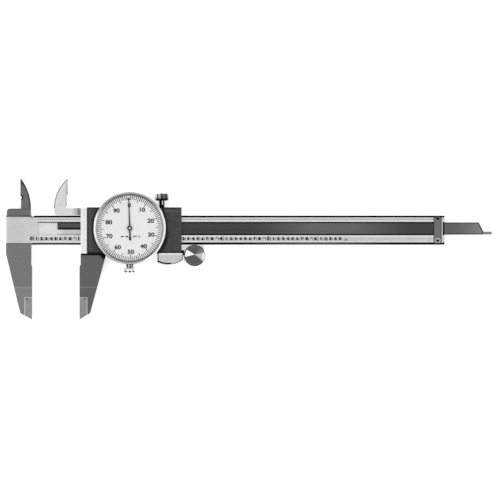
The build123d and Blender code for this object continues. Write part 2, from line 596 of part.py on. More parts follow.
def beam():
    """Beam with the fixed jaws, a channel along its front and screw holes."""
    section = [
        (BEAM_BOTTOM + BACK_CHAMFER, BEAM_BACK), (BEAM_TOP - BACK_CHAMFER, BEAM_BACK),
        (BEAM_TOP, BEAM_BACK + BACK_CHAMFER), (BEAM_TOP, BEAM_FRONT - TOP_CHAMFER),
        (BEAM_TOP - TOP_CHAMFER, BEAM_FRONT), (BEAM_BOTTOM + BOTTOM_CHAMFER, BEAM_FRONT),
        (BEAM_BOTTOM, BEAM_FRONT - BOTTOM_CHAMFER), (BEAM_BOTTOM, BEAM_BACK + BACK_CHAMFER),
    ]
    body = prism_x(section, (BEAM_LEFT, BEAM_RIGHT))
    body += outside_jaw(FIXED_FACE, -1, FIXED_RELIEF, FIXED_HEEL_Y, FIXED_TIP_WIDTH,
                        BEAM_BOTTOM + BOTTOM_CHAMFER + 1)
    body += fixed_inside_jaw()
    body -= block((CHANNEL_LEFT, BEAM_RIGHT), (CHANNEL_BOTTOM, CHANNEL_TOP), (CHANNEL_FLOOR, BEAM_FRONT))
    groove_x = FIXED_FACE - FIXED_BACK_INSET + ROOT_GROOVE_RADIUS
    groove_y = BEAM_TOP + ROOT_GROOVE_RADIUS - ROOT_GROOVE_DEPTH
    body -= post((groove_x, groove_y), ROOT_GROOVE_RADIUS, (BEAM_BACK, BEAM_FRONT))
    rack_seat = RACK_FRONT - RACK_SCREW[1]
    rack_room = screw_room(RACK_SCREW, RACK_THICKNESS + RACK_SCREW_BITE + HOLE_SPARE, above=0)
    body -= at_places(rack_room, rack_screw_places(), rack_seat)
    end_room = screw_room(END_SCREW, END_SCREW_BITE + HOLE_SPARE, above=0)
    return body - at_places(end_room, end_screw_places(), BEAM_FRONT)


def rack():
    """Toothed rack along the upper wall of the channel, with a plain left end."""
    left = FIXED_FACE + RACK_START
    tip_line = PITCH_LINE - ADDENDUM * MODULE
    root_line = PITCH_LINE + DEDENDUM * MODULE
    half_tooth = RACK_PITCH / 4 * (1 - TOOTH_THINNING)
    half_tip = half_tooth - ADDENDUM * MODULE * tan(PRESSURE_ANGLE)
    half_root = half_tooth + DEDENDUM * MODULE * tan(PRESSURE_ANGLE)
    first = ceil((left + RACK_PLAIN - PINION_X) / RACK_PITCH) + 0.5
    last = floor((rack_right() - PINION_X) / RACK_PITCH) - 0.5
    points = [(left, CHANNEL_TOP), (left, root_line)]
    for i in range(round(last - first) + 1):
        x = PINION_X + (first + i) * RACK_PITCH
        points += [(x - half_root, root_line), (x - half_tip, tip_line),
                   (x + half_tip, tip_line), (x + half_root, root_line)]
    points += [(rack_right(), root_line), (rack_right(), CHANNEL_TOP)]
    bar = plate(Polyline(*points, close=True), (CHANNEL_FLOOR, RACK_FRONT))
    room = screw_room(RACK_SCREW, RACK_THICKNESS)
    return bar - at_places(room, rack_screw_places(), RACK_FRONT - RACK_SCREW[1])


def rack_screws():
    """Screws that hold the rack down, with their heads flush."""
    body = screw(RACK_SCREW, RACK_THICKNESS + RACK_SCREW_BITE)
    return at_places(body, rack_screw_places(), RACK_FRONT - RACK_SCREW[1])


def end_plate():
    """Cross plate that closes the beam's channel and stops the slider, with a low step on its right."""
    y = (BEAM_BOTTOM + END_PLATE_EDGES[0], BEAM_TOP - END_PLATE_EDGES[1])
    body = block((END_PLATE_LEFT, END_PLATE_RIGHT), y, (BEAM_FRONT, BEAM_FRONT + END_PLATE_THICKNESS))
    body = chamfer(body.faces().sort_by(Axis.Z)[-1].edges(), END_PLATE_CHAMFER)
    width, thickness, inset = END_LIP
    lip_y = (BEAM_BOTTOM + inset, BEAM_TOP - inset)
    body += block((END_PLATE_RIGHT, END_PLATE_RIGHT + width), lip_y, (BEAM_FRONT, BEAM_FRONT + thickness))
    seat = BEAM_FRONT + END_PLATE_THICKNESS - END_SCREW[1]
    return body - at_places(screw_room(END_SCREW, END_PLATE_THICKNESS), end_screw_places(), seat)


def end_plate_screws():
    """Screws through the end plate into the beam."""
    seat = BEAM_FRONT + END_PLATE_THICKNESS - END_SCREW[1]
    return at_places(screw(END_SCREW, seat - BEAM_FRONT + END_SCREW_BITE), end_screw_places(), seat)


def rest_arc():
    """Curved lower edge of the thumb rest."""
    left, low, right = [SLIDER_BOTTOM - drop for drop in REST_DROPS]
    return ThreePointArc((REST_LEFT, left), (REST_LEFT + REST_LOW_PLACE, low), (REST_RIGHT, right))


def thumb_rest():
    """Rest for the thumb under the slider, grooved along the left part of its curve."""
    top = SLIDER_BOTTOM + SLIDER_CHAMFER + 0.6
    inside = SLIDER_RIGHT - 1
    sides = Polyline(rest_arc() @ 1, (REST_RIGHT, SLIDER_BOTTOM), (inside, SLIDER_BOTTOM),
                     (inside, top), (REST_LEFT, top), rest_arc() @ 0)
    body = plate([rest_arc(), sides], (REST_BACK, REST_FRONT))
    low, high = REST_GROOVE_SHARE
    for i in range(REST_GROOVES):
        place = rest_arc() @ (low + (high - low) * i / (REST_GROOVES - 1))
        body -= post((place.X, place.Y), REST_GROOVE_RADIUS, (REST_BACK, REST_FRONT))
    return body


def slider_body():
    """Slider with the moving jaws, the beam's passage, the gib pocket and the movement's recess."""
    body = block((SLIDER_LEFT, SLIDER_RIGHT), (SLIDER_BOTTOM, SLIDER_TOP), (0, SLIDER_FRONT))
    body = chamfer(body.edges().filter_by(Axis.Z), SLIDER_CHAMFER)
    body += outside_jaw(MOVING_FACE, 1, MOVING_RELIEF, MOVING_HEEL_Y, MOVING_TIP_WIDTH,
                        PASSAGE_BOTTOM - 0.6)
    body += moving_inside_jaw()
    body += thumb_rest()
    along = (SLIDER_LEFT, SLIDER_RIGHT)
    body -= block(along, (PASSAGE_BOTTOM, PASSAGE_TOP), (BACK_WALL, PASSAGE_FRONT))
    gib_x = (SLIDER_LEFT + GIB_END_WALL, SLIDER_RIGHT - GIB_END_WALL)
    body -= block(gib_x, (PASSAGE_TOP, GIB_POCKET_TOP), (BACK_WALL, PASSAGE_FRONT))
    pad_x = [SLIDER_RIGHT - inset for inset in DEPTH_PAD_INSETS]
    body += block(pad_x, (DEPTH_BAR_LOW, DEPTH_BAR_HIGH), (DEPTH_BAR_FRONT, PASSAGE_FRONT))
    body -= rounded_plate(MOVEMENT_LENGTH + 2 * MOVEMENT_ROOM, MOVEMENT_HEIGHT + 2 * MOVEMENT_ROOM,
                          MOVEMENT_CORNER, MOVEMENT_CENTRE_X, (RECESS_LEVEL, SLIDER_FRONT))
    body -= post((PINION_X, PINION_Y), PINION_HOLE_RADIUS, (PASSAGE_FRONT, RECESS_LEVEL))
    bracket_y = (BRACKET_BAND[0] - FIT_GAP, BRACKET_BAND[1] + FIT_GAP)
    bracket_x = (SLIDER_RIGHT - BRACKET_LENGTH - FIT_GAP, SLIDER_RIGHT)
    body -= block(bracket_x, bracket_y, (0, BRACKET_THICKNESS))
    body -= rod(LOCK_X, BEAM_MIDDLE, LOCK_STEM + TURN_GAP, (GIB_POCKET_TOP, SLIDER_TOP))
    body -= [rod(x, BEAM_MIDDLE, GIB_SCREW_RADIUS + FIT_GAP, (GIB_POCKET_TOP, SLIDER_TOP))
             for x in GIB_SCREWS_X]
    case_room = screw_room(CASE_SCREW, CASE_SCREW_BITE + HOLE_SPARE, above=0)
    body -= at_places(case_room, CASE_SCREWS, SLIDER_FRONT)
    cover_seat = COVER_SCREW_SUNK + COVER_SCREW[1]
    cover_room = screw_room(COVER_SCREW, SLIDER_FRONT, above=cover_seat)
    body -= at_places(cover_room, COVER_SCREWS, cover_seat, from_back=True)
    body -= at_places(screw_room(PLATE_SCREW, RECESS_FLOOR, above=0), PLATE_SCREWS, RECESS_LEVEL)
    bar_seat = SLIDER_FRONT - BAR_SCREW[1]
    bar_room = screw_room(BAR_SCREW, SLIDER_FRONT - DEPTH_BAR_FRONT)
    body -= at_places(bar_room, bar_screw_places(), bar_seat)
    bracket_room = screw_room(BRACKET_SCREW, BRACKET_SCREW_BITE + HOLE_SPARE, above=0)
    return body - at_places(bracket_room, bracket_screw_places(), BRACKET_THICKNESS, from_back=True)


def gib_strip():
    """Strip between the beam's upper edge and the gib screws."""
    x = (SLIDER_LEFT + GIB_END_WALL + SLIDE_GAP, SLIDER_RIGHT - GIB_END_WALL - SLIDE_GAP)
    return block(x, (PASSAGE_TOP, GIB_TOP), (BACK_WALL + SLIDE_GAP, PASSAGE_FRONT - SLIDE_GAP))


def gib_set_screws():
    """Slotted grub screws that set the gib, just below the slider's upper edge."""
    end = SLIDER_TOP - GIB_SCREW_SUNK
    screws = []
    for x in GIB_SCREWS_X:
        slot = block((x - SCREW_SLOT_WIDTH / 2, x + SCREW_SLOT_WIDTH / 2), (end - GIB_SCREW_SLOT, end),
                     (BEAM_MIDDLE - GIB_SCREW_RADIUS, BEAM_MIDDLE + GIB_SCREW_RADIUS))
        screws.append(rod(x, BEAM_MIDDLE, GIB_SCREW_RADIUS, (GIB_TOP, end)) - slot)
    return screws


def lock_screw():
    """Thumb screw that presses on the gib to hold the slider still."""
    head_y = SLIDER_TOP + LOCK_STAND
    stem = rod(LOCK_X, BEAM_MIDDLE, LOCK_STEM, (GIB_TOP + LOCK_TIP_GAP, head_y + 1))
    head = fluted_head(LOCK_HEAD_RADIUS, LOCK_HEAD_LENGTH, LOCK_FLUTES)
    return stem + Pos(LOCK_X, head_y, BEAM_MIDDLE) * Rot(-90, 0, 0) * head


def front_cover():
    """Dark cover plate over the slider, open round the movement."""
    y = (SLIDER_BOTTOM, SLIDER_TOP + COVER_LIP)
    body = block((COVER_LEFT, SLIDER_RIGHT), y, (SLIDER_FRONT, COVER_FRONT))
    body = chamfer(body.faces().sort_by(Axis.Z)[-1].edges(), COVER_CHAMFER)
    body -= movement_opening((SLIDER_FRONT, COVER_FRONT))
    body -= at_places(screw_room(CASE_SCREW, COVER_THICKNESS, above=0), CASE_SCREWS, COVER_FRONT)
    holes = (SLIDER_FRONT, SLIDER_FRONT + COVER_SCREW_BITE + HOLE_SPARE)
    return body - [post(place, COVER_SCREW[2] + FIT_GAP, holes) for place in COVER_SCREWS]


def movement_opening(z):
    """Hole that lets the movement stand through a plate."""
    room = 2 * (MOVEMENT_ROOM + OPENING_ROOM)
    return rounded_plate(MOVEMENT_LENGTH + room, MOVEMENT_HEIGHT + room, MOVEMENT_CORNER,
                         MOVEMENT_CENTRE_X, z)


def cover_screws():
    """Screws from the back through the slider into the cover."""
    seat = COVER_SCREW_SUNK + COVER_SCREW[1]
    body = screw(COVER_SCREW, SLIDER_FRONT + COVER_SCREW_BITE - seat)
    return at_places(body, COVER_SCREWS, seat, from_back=True)


def dial_case():
    """Round case under the dial, with a groove for the snap ring and a boss for the bezel clamp."""
    body = post((0, 0), CASE_RADIUS, (COVER_FRONT, CASE_TOP))
    body -= post((0, 0), CASE_BORE, (CASE_FLOOR_FRONT, CASE_TOP))
    body -= ring(SNAP_BAND[0] - RING_GROOVE_PLAY, CASE_RADIUS, snap_level(RING_GROOVE_PLAY))
    body -= movement_opening((COVER_FRONT, CASE_FLOOR_FRONT))
    half = CLAMP_ARM_WIDTH / 2
    body += block((-half, half), (BOSS_END, 1 - CASE_RADIUS), (COVER_FRONT, SKIRT - SKIRT_GAP))
    cone = Cone(CLAMP_BOSS_RADII[1], CLAMP_BOSS_RADII[0], CLAMP_BOSS_LENGTH, align=UPRIGHT)
    body += Pos(0, BOSS_END, CLAMP_Z) * Rot(-90, 0, 0) * cone
    body -= rod(0, CLAMP_Z, CLAMP_SHANK + TURN_GAP, (BOSS_END, BOSS_START))
    return body - at_places(screw_room(CASE_SCREW, CASE_FLOOR, above=0), CASE_SCREWS, CASE_FLOOR_FRONT)


def snap_level(play):
    """Lower and upper level of the snap ring, or of a groove round it."""
    back = CASE_FLOOR_FRONT + SNAP_LEVEL
    return back - play, back + RING_THICKNESS + play


def keeper_level(play):
    """Lower and upper level of the dial's keeper ring, or of a groove round it."""
    return DIAL_BACK - KEEPER_THICKNESS - play, DIAL_BACK


def case_screws():
    """Screws that hold the case and the cover on the slider."""
    body = screw(CASE_SCREW, CASE_FLOOR + COVER_THICKNESS + CASE_SCREW_BITE)
    return at_places(body, CASE_SCREWS, CASE_FLOOR_FRONT)


def bezel_snap_ring():
    """Open spring ring that holds the bezel on the case and lets it turn."""
    return open_ring(SNAP_BAND, snap_level(0), RING_OPENING)


def bezel_ring():
    """Turning ring with a bright rim, an inner slope and grooves for two spring rings."""
    slope = LIP_HEIGHT * 0.9
    body = turned([
        (BEZEL_BORE, SKIRT), (BEZEL_RADIUS - 0.3, SKIRT), (BEZEL_RADIUS, SKIRT + 0.3),
        (BEZEL_RADIUS, BEZEL_FRONT - 0.55), (BEZEL_RADIUS - 0.2, BEZEL_FRONT - 0.15),
        (BEZEL_RADIUS - 0.55, BEZEL_FRONT), (BEZEL_RADIUS - 0.95, BEZEL_FRONT),
        (LIP_BORE, BEZEL_FRONT - slope), (LIP_BORE, CRYSTAL_FRONT), (BEZEL_BORE, CRYSTAL_FRONT),
    ])
    for band, level in ((SNAP_BAND, snap_level(RING_GROOVE_PLAY)), (KEEPER_BAND, keeper_level(0))):
        body -= ring(LIP_BORE, band[1] + RING_GROOVE_PLAY, level)
    return body


def crystal():
    """Clear window with a slightly domed front."""
    edge = DIAL_RADIUS
    dome_edge = LIP_BORE - 0.05
    bottom = Polyline((0, CRYSTAL_FRONT + CRYSTAL_DOME), (0, CRYSTAL_BACK), (edge, CRYSTAL_BACK),
                      (edge, CRYSTAL_FRONT), (dome_edge, CRYSTAL_FRONT))
    sphere = (dome_edge ** 2 + CRYSTAL_DOME ** 2) / (2 * CRYSTAL_DOME)
    half = dome_edge / 2
    top = CRYSTAL_FRONT + CRYSTAL_DOME
    half_height = top - sphere + sqrt(sphere ** 2 - half ** 2)
    dome = ThreePointArc((dome_edge, CRYSTAL_FRONT), (half, half_height), (0, top))
    return revolve(Plane.XZ * make_face([bottom, dome]), Axis.Z)


def spacer_ring():
    """Ring that keeps the crystal clear of the needle."""
    return ring(DIAL_RADIUS - SPACER_WIDTH, DIAL_RADIUS, (DIAL_FRONT, CRYSTAL_BACK))


def dial_plate():
    """Dial with a hole for the needle's arbor."""
    return ring(DIAL_HOLE, DIAL_RADIUS, (DIAL_BACK, DIAL_FRONT))


def dial_retaining_ring():
    """Open spring ring behind the dial, in the bezel's groove."""
    return open_ring(KEEPER_BAND, keeper_level(0), RING_OPENING)


def needle():
    """Needle with a long pointer, a weighted tail and a hub pressed on its arbor."""
    back = DIAL_FRONT + NEEDLE_GAP
    outline = [
        (NEEDLE_POINT / 2, NEEDLE_LENGTH), (NEEDLE_ROOT / 2, 0), (NEEDLE_ROOT / 2, -TAIL_WEIGHT_START),
        (TAIL_WEIGHT_WIDTH / 2, -TAIL_WEIGHT_START), (TAIL_WEIGHT_WIDTH / 2, -NEEDLE_TAIL),
    ]
    outline += [(-x, y) for x, y in reversed(outline)]
    body = Rot(0, 0, NEEDLE_TURN) * plate(Polyline(*outline, close=True), (back, back + NEEDLE_THICKNESS))
    hub = (DIAL_FRONT + HUB_GAP, DIAL_FRONT + HUB_GAP + HUB_HEIGHT)
    body += post((0, 0), HUB_RADIUS, hub)
    return body - post((0, 0), NEEDLE_ARBOR_RADIUS + FIT_GAP, hub)


def center_pinion():
    """Twelve-leaf pinion on the needle's arbor, in mesh with both wheels."""
    facing = pi + mesh_angle() + pi / CENTRE_TEETH
    leaves = (WHEEL_BACK - END_SHAKE, WHEELS_FRONT + 2 * END_SHAKE)
    body = gear(CENTRE_TEETH, facing, leaves, (0, 0), 3)
    return body + post((0, 0), NEEDLE_ARBOR_RADIUS, (RECESS_LEVEL + END_SHAKE, DIAL_FRONT + HUB_HEIGHT))


def mesh_angle():
    """Direction from the rack pinion's arbor to the needle's arbor, in radians."""
    return acos(-PINION_X / hypot(PINION_X, PINION_Y))


def rack_pinion():
    """Pinion that the rack turns, in one piece with its arbor and the wheels' seat."""
    centre = (PINION_X, PINION_Y)
    back = CHANNEL_FLOOR + END_SHAKE
    body = gear(PINION_TEETH, pi / 2, (back, back + PINION_FACE), centre, 3)
    body += post(centre, ARBOR_RADIUS, (back, UPPER_PLATE_FRONT - END_SHAKE))
    return body + post(centre, 2 * ARBOR_RADIUS, (PLATE_FRONT + END_SHAKE, WHEEL_BACK))


def wheel(back):
    """Forty-eight tooth wheel with three openings, on the rack pinion's arbor."""
    body = gear(WHEEL_TEETH, mesh_angle(), (back, back + WHEEL_FACE), (PINION_X, PINION_Y), 1)
    hole = post((WHEEL_RADIUS * WHEEL_HOLE_PLACE, 0), WHEEL_HOLE_RADIUS, (back, back + WHEEL_FACE))
    body -= [Pos(PINION_X, PINION_Y, 0) * Rot(0, 0, 120 * i + 60) * hole for i in range(3)]
    return body - post((PINION_X, PINION_Y), ARBOR_RADIUS + FIT_GAP, (back, back + WHEEL_FACE))


def backlash_spring():
    """Open spring that turns the second wheel against the first, to take up play."""
    z = (WHEELS_FRONT, WHEELS_FRONT + RING_THICKNESS)
    return open_ring(SPRING_BAND, z, SPRING_OPENING, (PINION_X, PINION_Y))


def movement_lower_plate():
    """Lower movement plate in the slider's recess, with both arbors' bearings."""
    z = (RECESS_LEVEL, PLATE_FRONT)
    body = rounded_plate(MOVEMENT_LENGTH, MOVEMENT_HEIGHT, MOVEMENT_CORNER, MOVEMENT_CENTRE_X, z)
    body -= arbor_bearings(z)
    return body - at_places(screw_room(PLATE_SCREW, z[1] - z[0], above=0), PLATE_SCREWS, PLATE_FRONT)


def arbor_bearings(z):
    """Bearing holes for the two arbors."""
    return [post((PINION_X, PINION_Y), ARBOR_RADIUS + FIT_GAP, z),
            post((0, 0), NEEDLE_ARBOR_RADIUS + FIT_GAP, z)]


def movement_upper_plate():
    """Upper movement plate on the pillars."""
    z = (UPPER_PLATE_BACK, UPPER_PLATE_FRONT)
    body = rounded_plate(MOVEMENT_LENGTH - UPPER_PLATE_SMALLER, MOVEMENT_HEIGHT - UPPER_PLATE_SMALLER,
                         MOVEMENT_CORNER, MOVEMENT_CENTRE_X, z)
    body -= arbor_bearings(z)
    return body - at_places(screw_room(MOVEMENT_SCREW, UPPER_PLATE_THICKNESS, above=0), PILLARS, z[1])


def movement_pillars():
    """Pillars between the two movement plates, tapped for the movement's screws."""
    pillar = post((0, 0), PILLAR_RADIUS, (0, PILLAR_LENGTH))
    bottom = PILLAR_LENGTH - MOVEMENT_SCREW_BITE - HOLE_SPARE
    pillar -= post((0, 0), MOVEMENT_SCREW[2] + FIT_GAP, (bottom, PILLAR_LENGTH))
    return at_places(pillar, PILLARS, PLATE_FRONT)


def movement_screws():
    """Screws through the upper plate into the pillars."""
    body = screw(MOVEMENT_SCREW, UPPER_PLATE_THICKNESS + MOVEMENT_SCREW_BITE)
    return at_places(body, PILLARS, UPPER_PLATE_FRONT)


def plate_fixing_screws():
    """Screws that hold the lower plate in the slider's recess."""
    body = screw(PLATE_SCREW, PLATE_FRONT - PASSAGE_FRONT - SLIDE_GAP)
    return at_places(body, PLATE_SCREWS, PLATE_FRONT)


def bar_screw_places():
    """Centres of the depth bar's screws, on the channel's middle line."""
    y = (CHANNEL_TOP + CHANNEL_BOTTOM) / 2
    return [(SLIDER_RIGHT - inset, y) for inset in DEPTH_BAR_SCREW_INSETS]


def depth_bar():
    """Thin bar in the beam's channel, with a sloped end and a narrow tongue."""
    tongue_start = DEPTH_BAR_END - DEPTH_TONGUE_LENGTH
    tongue_top = DEPTH_BAR_LOW + DEPTH_TONGUE_HEIGHT
    outline = Polyline((DEPTH_BAR_START, DEPTH_BAR_LOW), (DEPTH_BAR_END, DEPTH_BAR_LOW),
                       (DEPTH_BAR_END, tongue_top), (tongue_start, tongue_top),
                       (tongue_start - DEPTH_BAR_END_SLOPE, DEPTH_BAR_HIGH),
                       (DEPTH_BAR_START, DEPTH_BAR_HIGH), close=True)
    body = plate(outline, (DEPTH_BAR_BACK, DEPTH_BAR_FRONT))
    return body - [post(place, BAR_SCREW[2] + FIT_GAP, (DEPTH_BAR_BACK, DEPTH_BAR_FRONT))
                   for place in bar_screw_places()]


def depth_bar_screws():
    """Screws through the slider's front wall into the depth bar."""
    seat = SLIDER_FRONT - BAR_SCREW[1]
    return at_places(screw(BAR_SCREW, seat - DEPTH_BAR_BACK - SLIDE_GAP), bar_screw_places(), seat)


def bezel_clamp_screw():
    """Fluted screw that presses on the bezel's rim to hold the dial."""
    head_top = BOSS_END - CLAMP_HEAD_GAP
    shank = rod(0, CLAMP_Z, CLAMP_SHANK, (head_top - 1, BOSS_START + CLAMP_BOSS_GAP / 3))
    head = fluted_head(CLAMP_HEAD_RADIUS, CLAMP_HEAD_LENGTH, CLAMP_FLUTES)
    return shank + Pos(0, head_top, CLAMP_Z) * Rot(90, 0, 0) * head


def bracket_screw_places():
    """Centres of the roller bracket's screws."""
    return [(SLIDER_RIGHT - inset, sum(BRACKET_BAND) / 2) for inset in BRACKET_SCREW_INSETS]


def roller_bracket():
    """Flat bracket let into the slider's back, which carries the roller's axle."""
    z = (0, BRACKET_THICKNESS)
    body = block((SLIDER_RIGHT - BRACKET_LENGTH, ROLLER_X), BRACKET_BAND, z)
    wide_y = (ROLLER_Y, BEAM_BOTTOM - BRACKET_BEAM_GAP)
    body += block((REST_RIGHT + TURN_GAP, ROLLER_X + BRACKET_RADIUS), wide_y, z)
    body += post((ROLLER_X, ROLLER_Y), BRACKET_RADIUS, z)
    body -= post((ROLLER_X, ROLLER_Y), AXLE_RADIUS + FIT_GAP, z)
    seat = BRACKET_SCREW[1] + BRACKET_SCREW_SUNK
    room = screw_room(BRACKET_SCREW, BRACKET_THICKNESS)
    return body - at_places(room, bracket_screw_places(), seat, from_back=True)


def roller_bracket_screws():
    """Screws that hold the bracket on the slider."""
    seat = BRACKET_SCREW[1] + BRACKET_SCREW_SUNK
    body = screw(BRACKET_SCREW, BRACKET_THICKNESS - seat + BRACKET_SCREW_BITE)
    return at_places(body, bracket_screw_places(), seat, from_back=True)


def clip_level(play):
    """Lower and upper level of the roller's clip, or of a groove round it."""
    back = ROLLER_FRONT - ROLLER_FRONT_WALL - CLIP_DROP
    return back - play, back + CLIP_THICKNESS + play


def roller_axle():
    """Axle riveted in the bracket, with a collar under the roller and a groove for its clip."""
    centre = (ROLLER_X, ROLLER_Y)
    body = post(centre, AXLE_RADIUS, (0, ROLLER_FRONT - ROLLER_FRONT_WALL - AXLE_TOP_GAP))
    body += post(centre, AXLE_COLLAR_RADIUS, (BRACKET_THICKNESS, ROLLER_BACK - TURN_GAP))
    groove_floor = AXLE_RADIUS - CLIP_BITE - RING_GROOVE_PLAY
    return body - ring(groove_floor, AXLE_RADIUS, clip_level(RING_GROOVE_PLAY), centre)


def roller_clip():
    """Open clip in the grooves of the axle and the roller."""
    band = (AXLE_RADIUS - CLIP_BITE, AXLE_RADIUS + CLIP_STAND)
    return open_ring(band, clip_level(0), CLIP_OPENING, (ROLLER_X, ROLLER_Y))


def thumb_roller():
    """Knurled roller that runs on the beam's lower edge, with a blind bore."""
    centre = (ROLLER_X, ROLLER_Y)
    disc = Cylinder(ROLLER_RADIUS, ROLLER_THICKNESS, align=UPRIGHT)
    disc = chamfer(disc.edges().filter_by(GeomType.CIRCLE), ROLLER_CHAMFER)
    wedge = Box(ROLLER_GROOVE_WIDTH, ROLLER_GROOVE_WIDTH, ROLLER_THICKNESS, align=(Align.MIN,) * 3)
    cutter = Pos(ROLLER_RADIUS - ROLLER_GROOVE_DEPTH, 0, 0) * Rot(0, 0, -45) * wedge
    disc -= [Rot(0, 0, 360 * i / ROLLER_GROOVES) * cutter for i in range(ROLLER_GROOVES)]
    body = Pos(*centre, ROLLER_BACK) * disc
    body -= post(centre, AXLE_RADIUS + TURN_GAP, (ROLLER_BACK, ROLLER_FRONT - ROLLER_FRONT_WALL))
    groove_radius = AXLE_RADIUS + CLIP_STAND + 2 * RING_GROOVE_PLAY
    return body - post(centre, groove_radius, clip_level(RING_GROOVE_PLAY))


NODES = {
    "beam": beam,
    "rack": rack,
    "rack_screws": rack_screws,
    "end_plate": end_plate,
    "end_plate_screws": end_plate_screws,
    "slider_body": slider_body,
    "gib_strip": gib_strip,
    "gib_set_screws": gib_set_screws,
    "lock_screw": lock_screw,
    "front_cover": front_cover,
    "cover_screws": cover_screws,
    "dial_case": dial_case,
    "case_screws": case_screws,
    "bezel_snap_ring": bezel_snap_ring,
    "bezel_ring": bezel_ring,
    "crystal": crystal,
    "spacer_ring": spacer_ring,
    "dial_plate": dial_plate,
    "dial_retaining_ring": dial_retaining_ring,
    "bezel_clamp_screw": bezel_clamp_screw,
    "needle": needle,
    "center_pinion": center_pinion,
    "rack_pinion": rack_pinion,
    "intermediate_gear": lambda: wheel(WHEEL_BACK),
    "anti_backlash_gear": lambda: wheel(SECOND_WHEEL_BACK),
    "backlash_spring": backlash_spring,
    "movement_lower_plate": movement_lower_plate,
    "movement_pillars": movement_pillars,
    "movement_upper_plate": movement_upper_plate,
    "movement_screws": movement_screws,
    "plate_fixing_screws": plate_fixing_screws,
    "depth_bar": depth_bar,
    "depth_bar_screws": depth_bar_screws,
    "roller_bracket": roller_bracket,
    "roller_bracket_screws": roller_bracket_screws,
    "roller_axle": roller_axle,
    "roller_clip": roller_clip,
    "thumb_roller": thumb_roller,
}

os.makedirs("parts", exist_ok=True)
for name, make in NODES.items():
    piece = make()
    if isinstance(piece, list):
        piece = Compound(piece)
    export_step(piece, f"parts/{name}.step")
print("slider travel", round(CLOSED_GAP - JAW_OPENING, 3), "to", round(MAX_TRAVEL, 3))
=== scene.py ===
from math import cos, pi, radians, sin

import bpy
from mathutils import Matrix, Vector


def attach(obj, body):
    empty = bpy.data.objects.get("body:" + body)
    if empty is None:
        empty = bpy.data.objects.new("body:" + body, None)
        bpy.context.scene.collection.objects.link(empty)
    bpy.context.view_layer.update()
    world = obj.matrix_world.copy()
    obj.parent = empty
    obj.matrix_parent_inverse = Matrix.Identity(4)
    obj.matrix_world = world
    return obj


# Dial caliper seen straight from above. Metres in Blender, millimetres in the numbers below.
MM = 0.001

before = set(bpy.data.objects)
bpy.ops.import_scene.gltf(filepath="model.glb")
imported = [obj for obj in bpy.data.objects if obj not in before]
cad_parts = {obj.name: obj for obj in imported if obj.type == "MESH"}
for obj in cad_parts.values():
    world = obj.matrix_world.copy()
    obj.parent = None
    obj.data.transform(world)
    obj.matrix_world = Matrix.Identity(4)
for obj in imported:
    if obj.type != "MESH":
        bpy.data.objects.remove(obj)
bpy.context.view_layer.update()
bpy.ops.object.select_all(action="DESELECT")

# Places on the caliper, in millimetres
AXIS = (0.0, 0.0)                 # needle's axis
FIXED_FACE = -52.3
MOVING_FACE = -26.9
BEAM_TOP = 6.75
BEAM_BOTTOM = -8.85
BEAM_FRONT = 5.35
BEAM_RIGHT = 168.8
CHANNEL_TOP = 3.33
CHANNEL_BOTTOM = -3.67
CHANNEL_LEFT = -49.2
CHANNEL_FLOOR = 3.05
SLIDER_LEFT = -26.3
SLIDER_RIGHT = 27.8
SLIDER_BOTTOM = -13.6
COVER_LEFT = -22.95
JAW_TIP = -49.0
KNIFE_TOP = -37.2
KNIFE_WIDTH = 4.0
TAPER = -31.7
DIAL_FRONT = 11.9
BEZEL_RADIUS = 19.45
ROLLER = (34.85, -14.63)
ROLLER_RADIUS = 5.73
ROLLER_GLINT = (34.85, -14.1)     # where its bright sectors meet
RACK_LEFT = -38.7
SHOULDER_TOP = 10.5
FIXED_ARC = 27.2
FIXED_ARC_CENTRE = (-80.15, 10.5)
ARM_TOP = 10.7
MOVING_ARC = 21.2
MOVING_ARC_CENTRE = (-19.41, 10.7)
LOCK_X = 17.2
LOCK_HEAD_BOTTOM = 14.75
CLAMP_HEAD_BOTTOM = -24.0
END_PLATE_LEFT = 162.95
END_PLATE_RIGHT = 167.45
END_SCREWS = ((165.2, 5.2), (165.2, -6.65))
NOTCH = (-58.6, 16.5)             # in the edge of the fixed inside jaw
DEPTH_TONGUE = 189.6
REST_ARC = 12.61
REST_ARC_CENTRE = (20.48, -7.09)
REST_LEFT = 14.9
REST_RIGHT = 28.4
REST_FRONT = 6.4
PRINT_HEIGHT = 0.012

# Scale on the beam
INCH = 25.4
SCALE_ZERO = -51.474              # its first line
SCALE_INCHES = 6
SCALE_TENTHS = 65

# Dial print
DIAL_TURN = 2.0                   # degrees anticlockwise
TICK_RADIUS = 17.5
ZERO_MARK_RADIUS = 15.3
TICK_ZONE = 14.95                 # where the dial is painted whiter, against the bezel's shade
NUMBER_RADII = (11.82, 12.1)
NUMBER_CENTRE = (0.18, -0.13)
NUMBER_SHIFTS = {0: 0.33, 5: -0.45}    # up or down, at the dial's top and bottom


def linear(level):
    """Linear value of a screen grey between 0 and 255."""
    share = level / 255
    return share / 12.92 if share <= 0.04045 else ((share + 0.055) / 1.055) ** 2.4


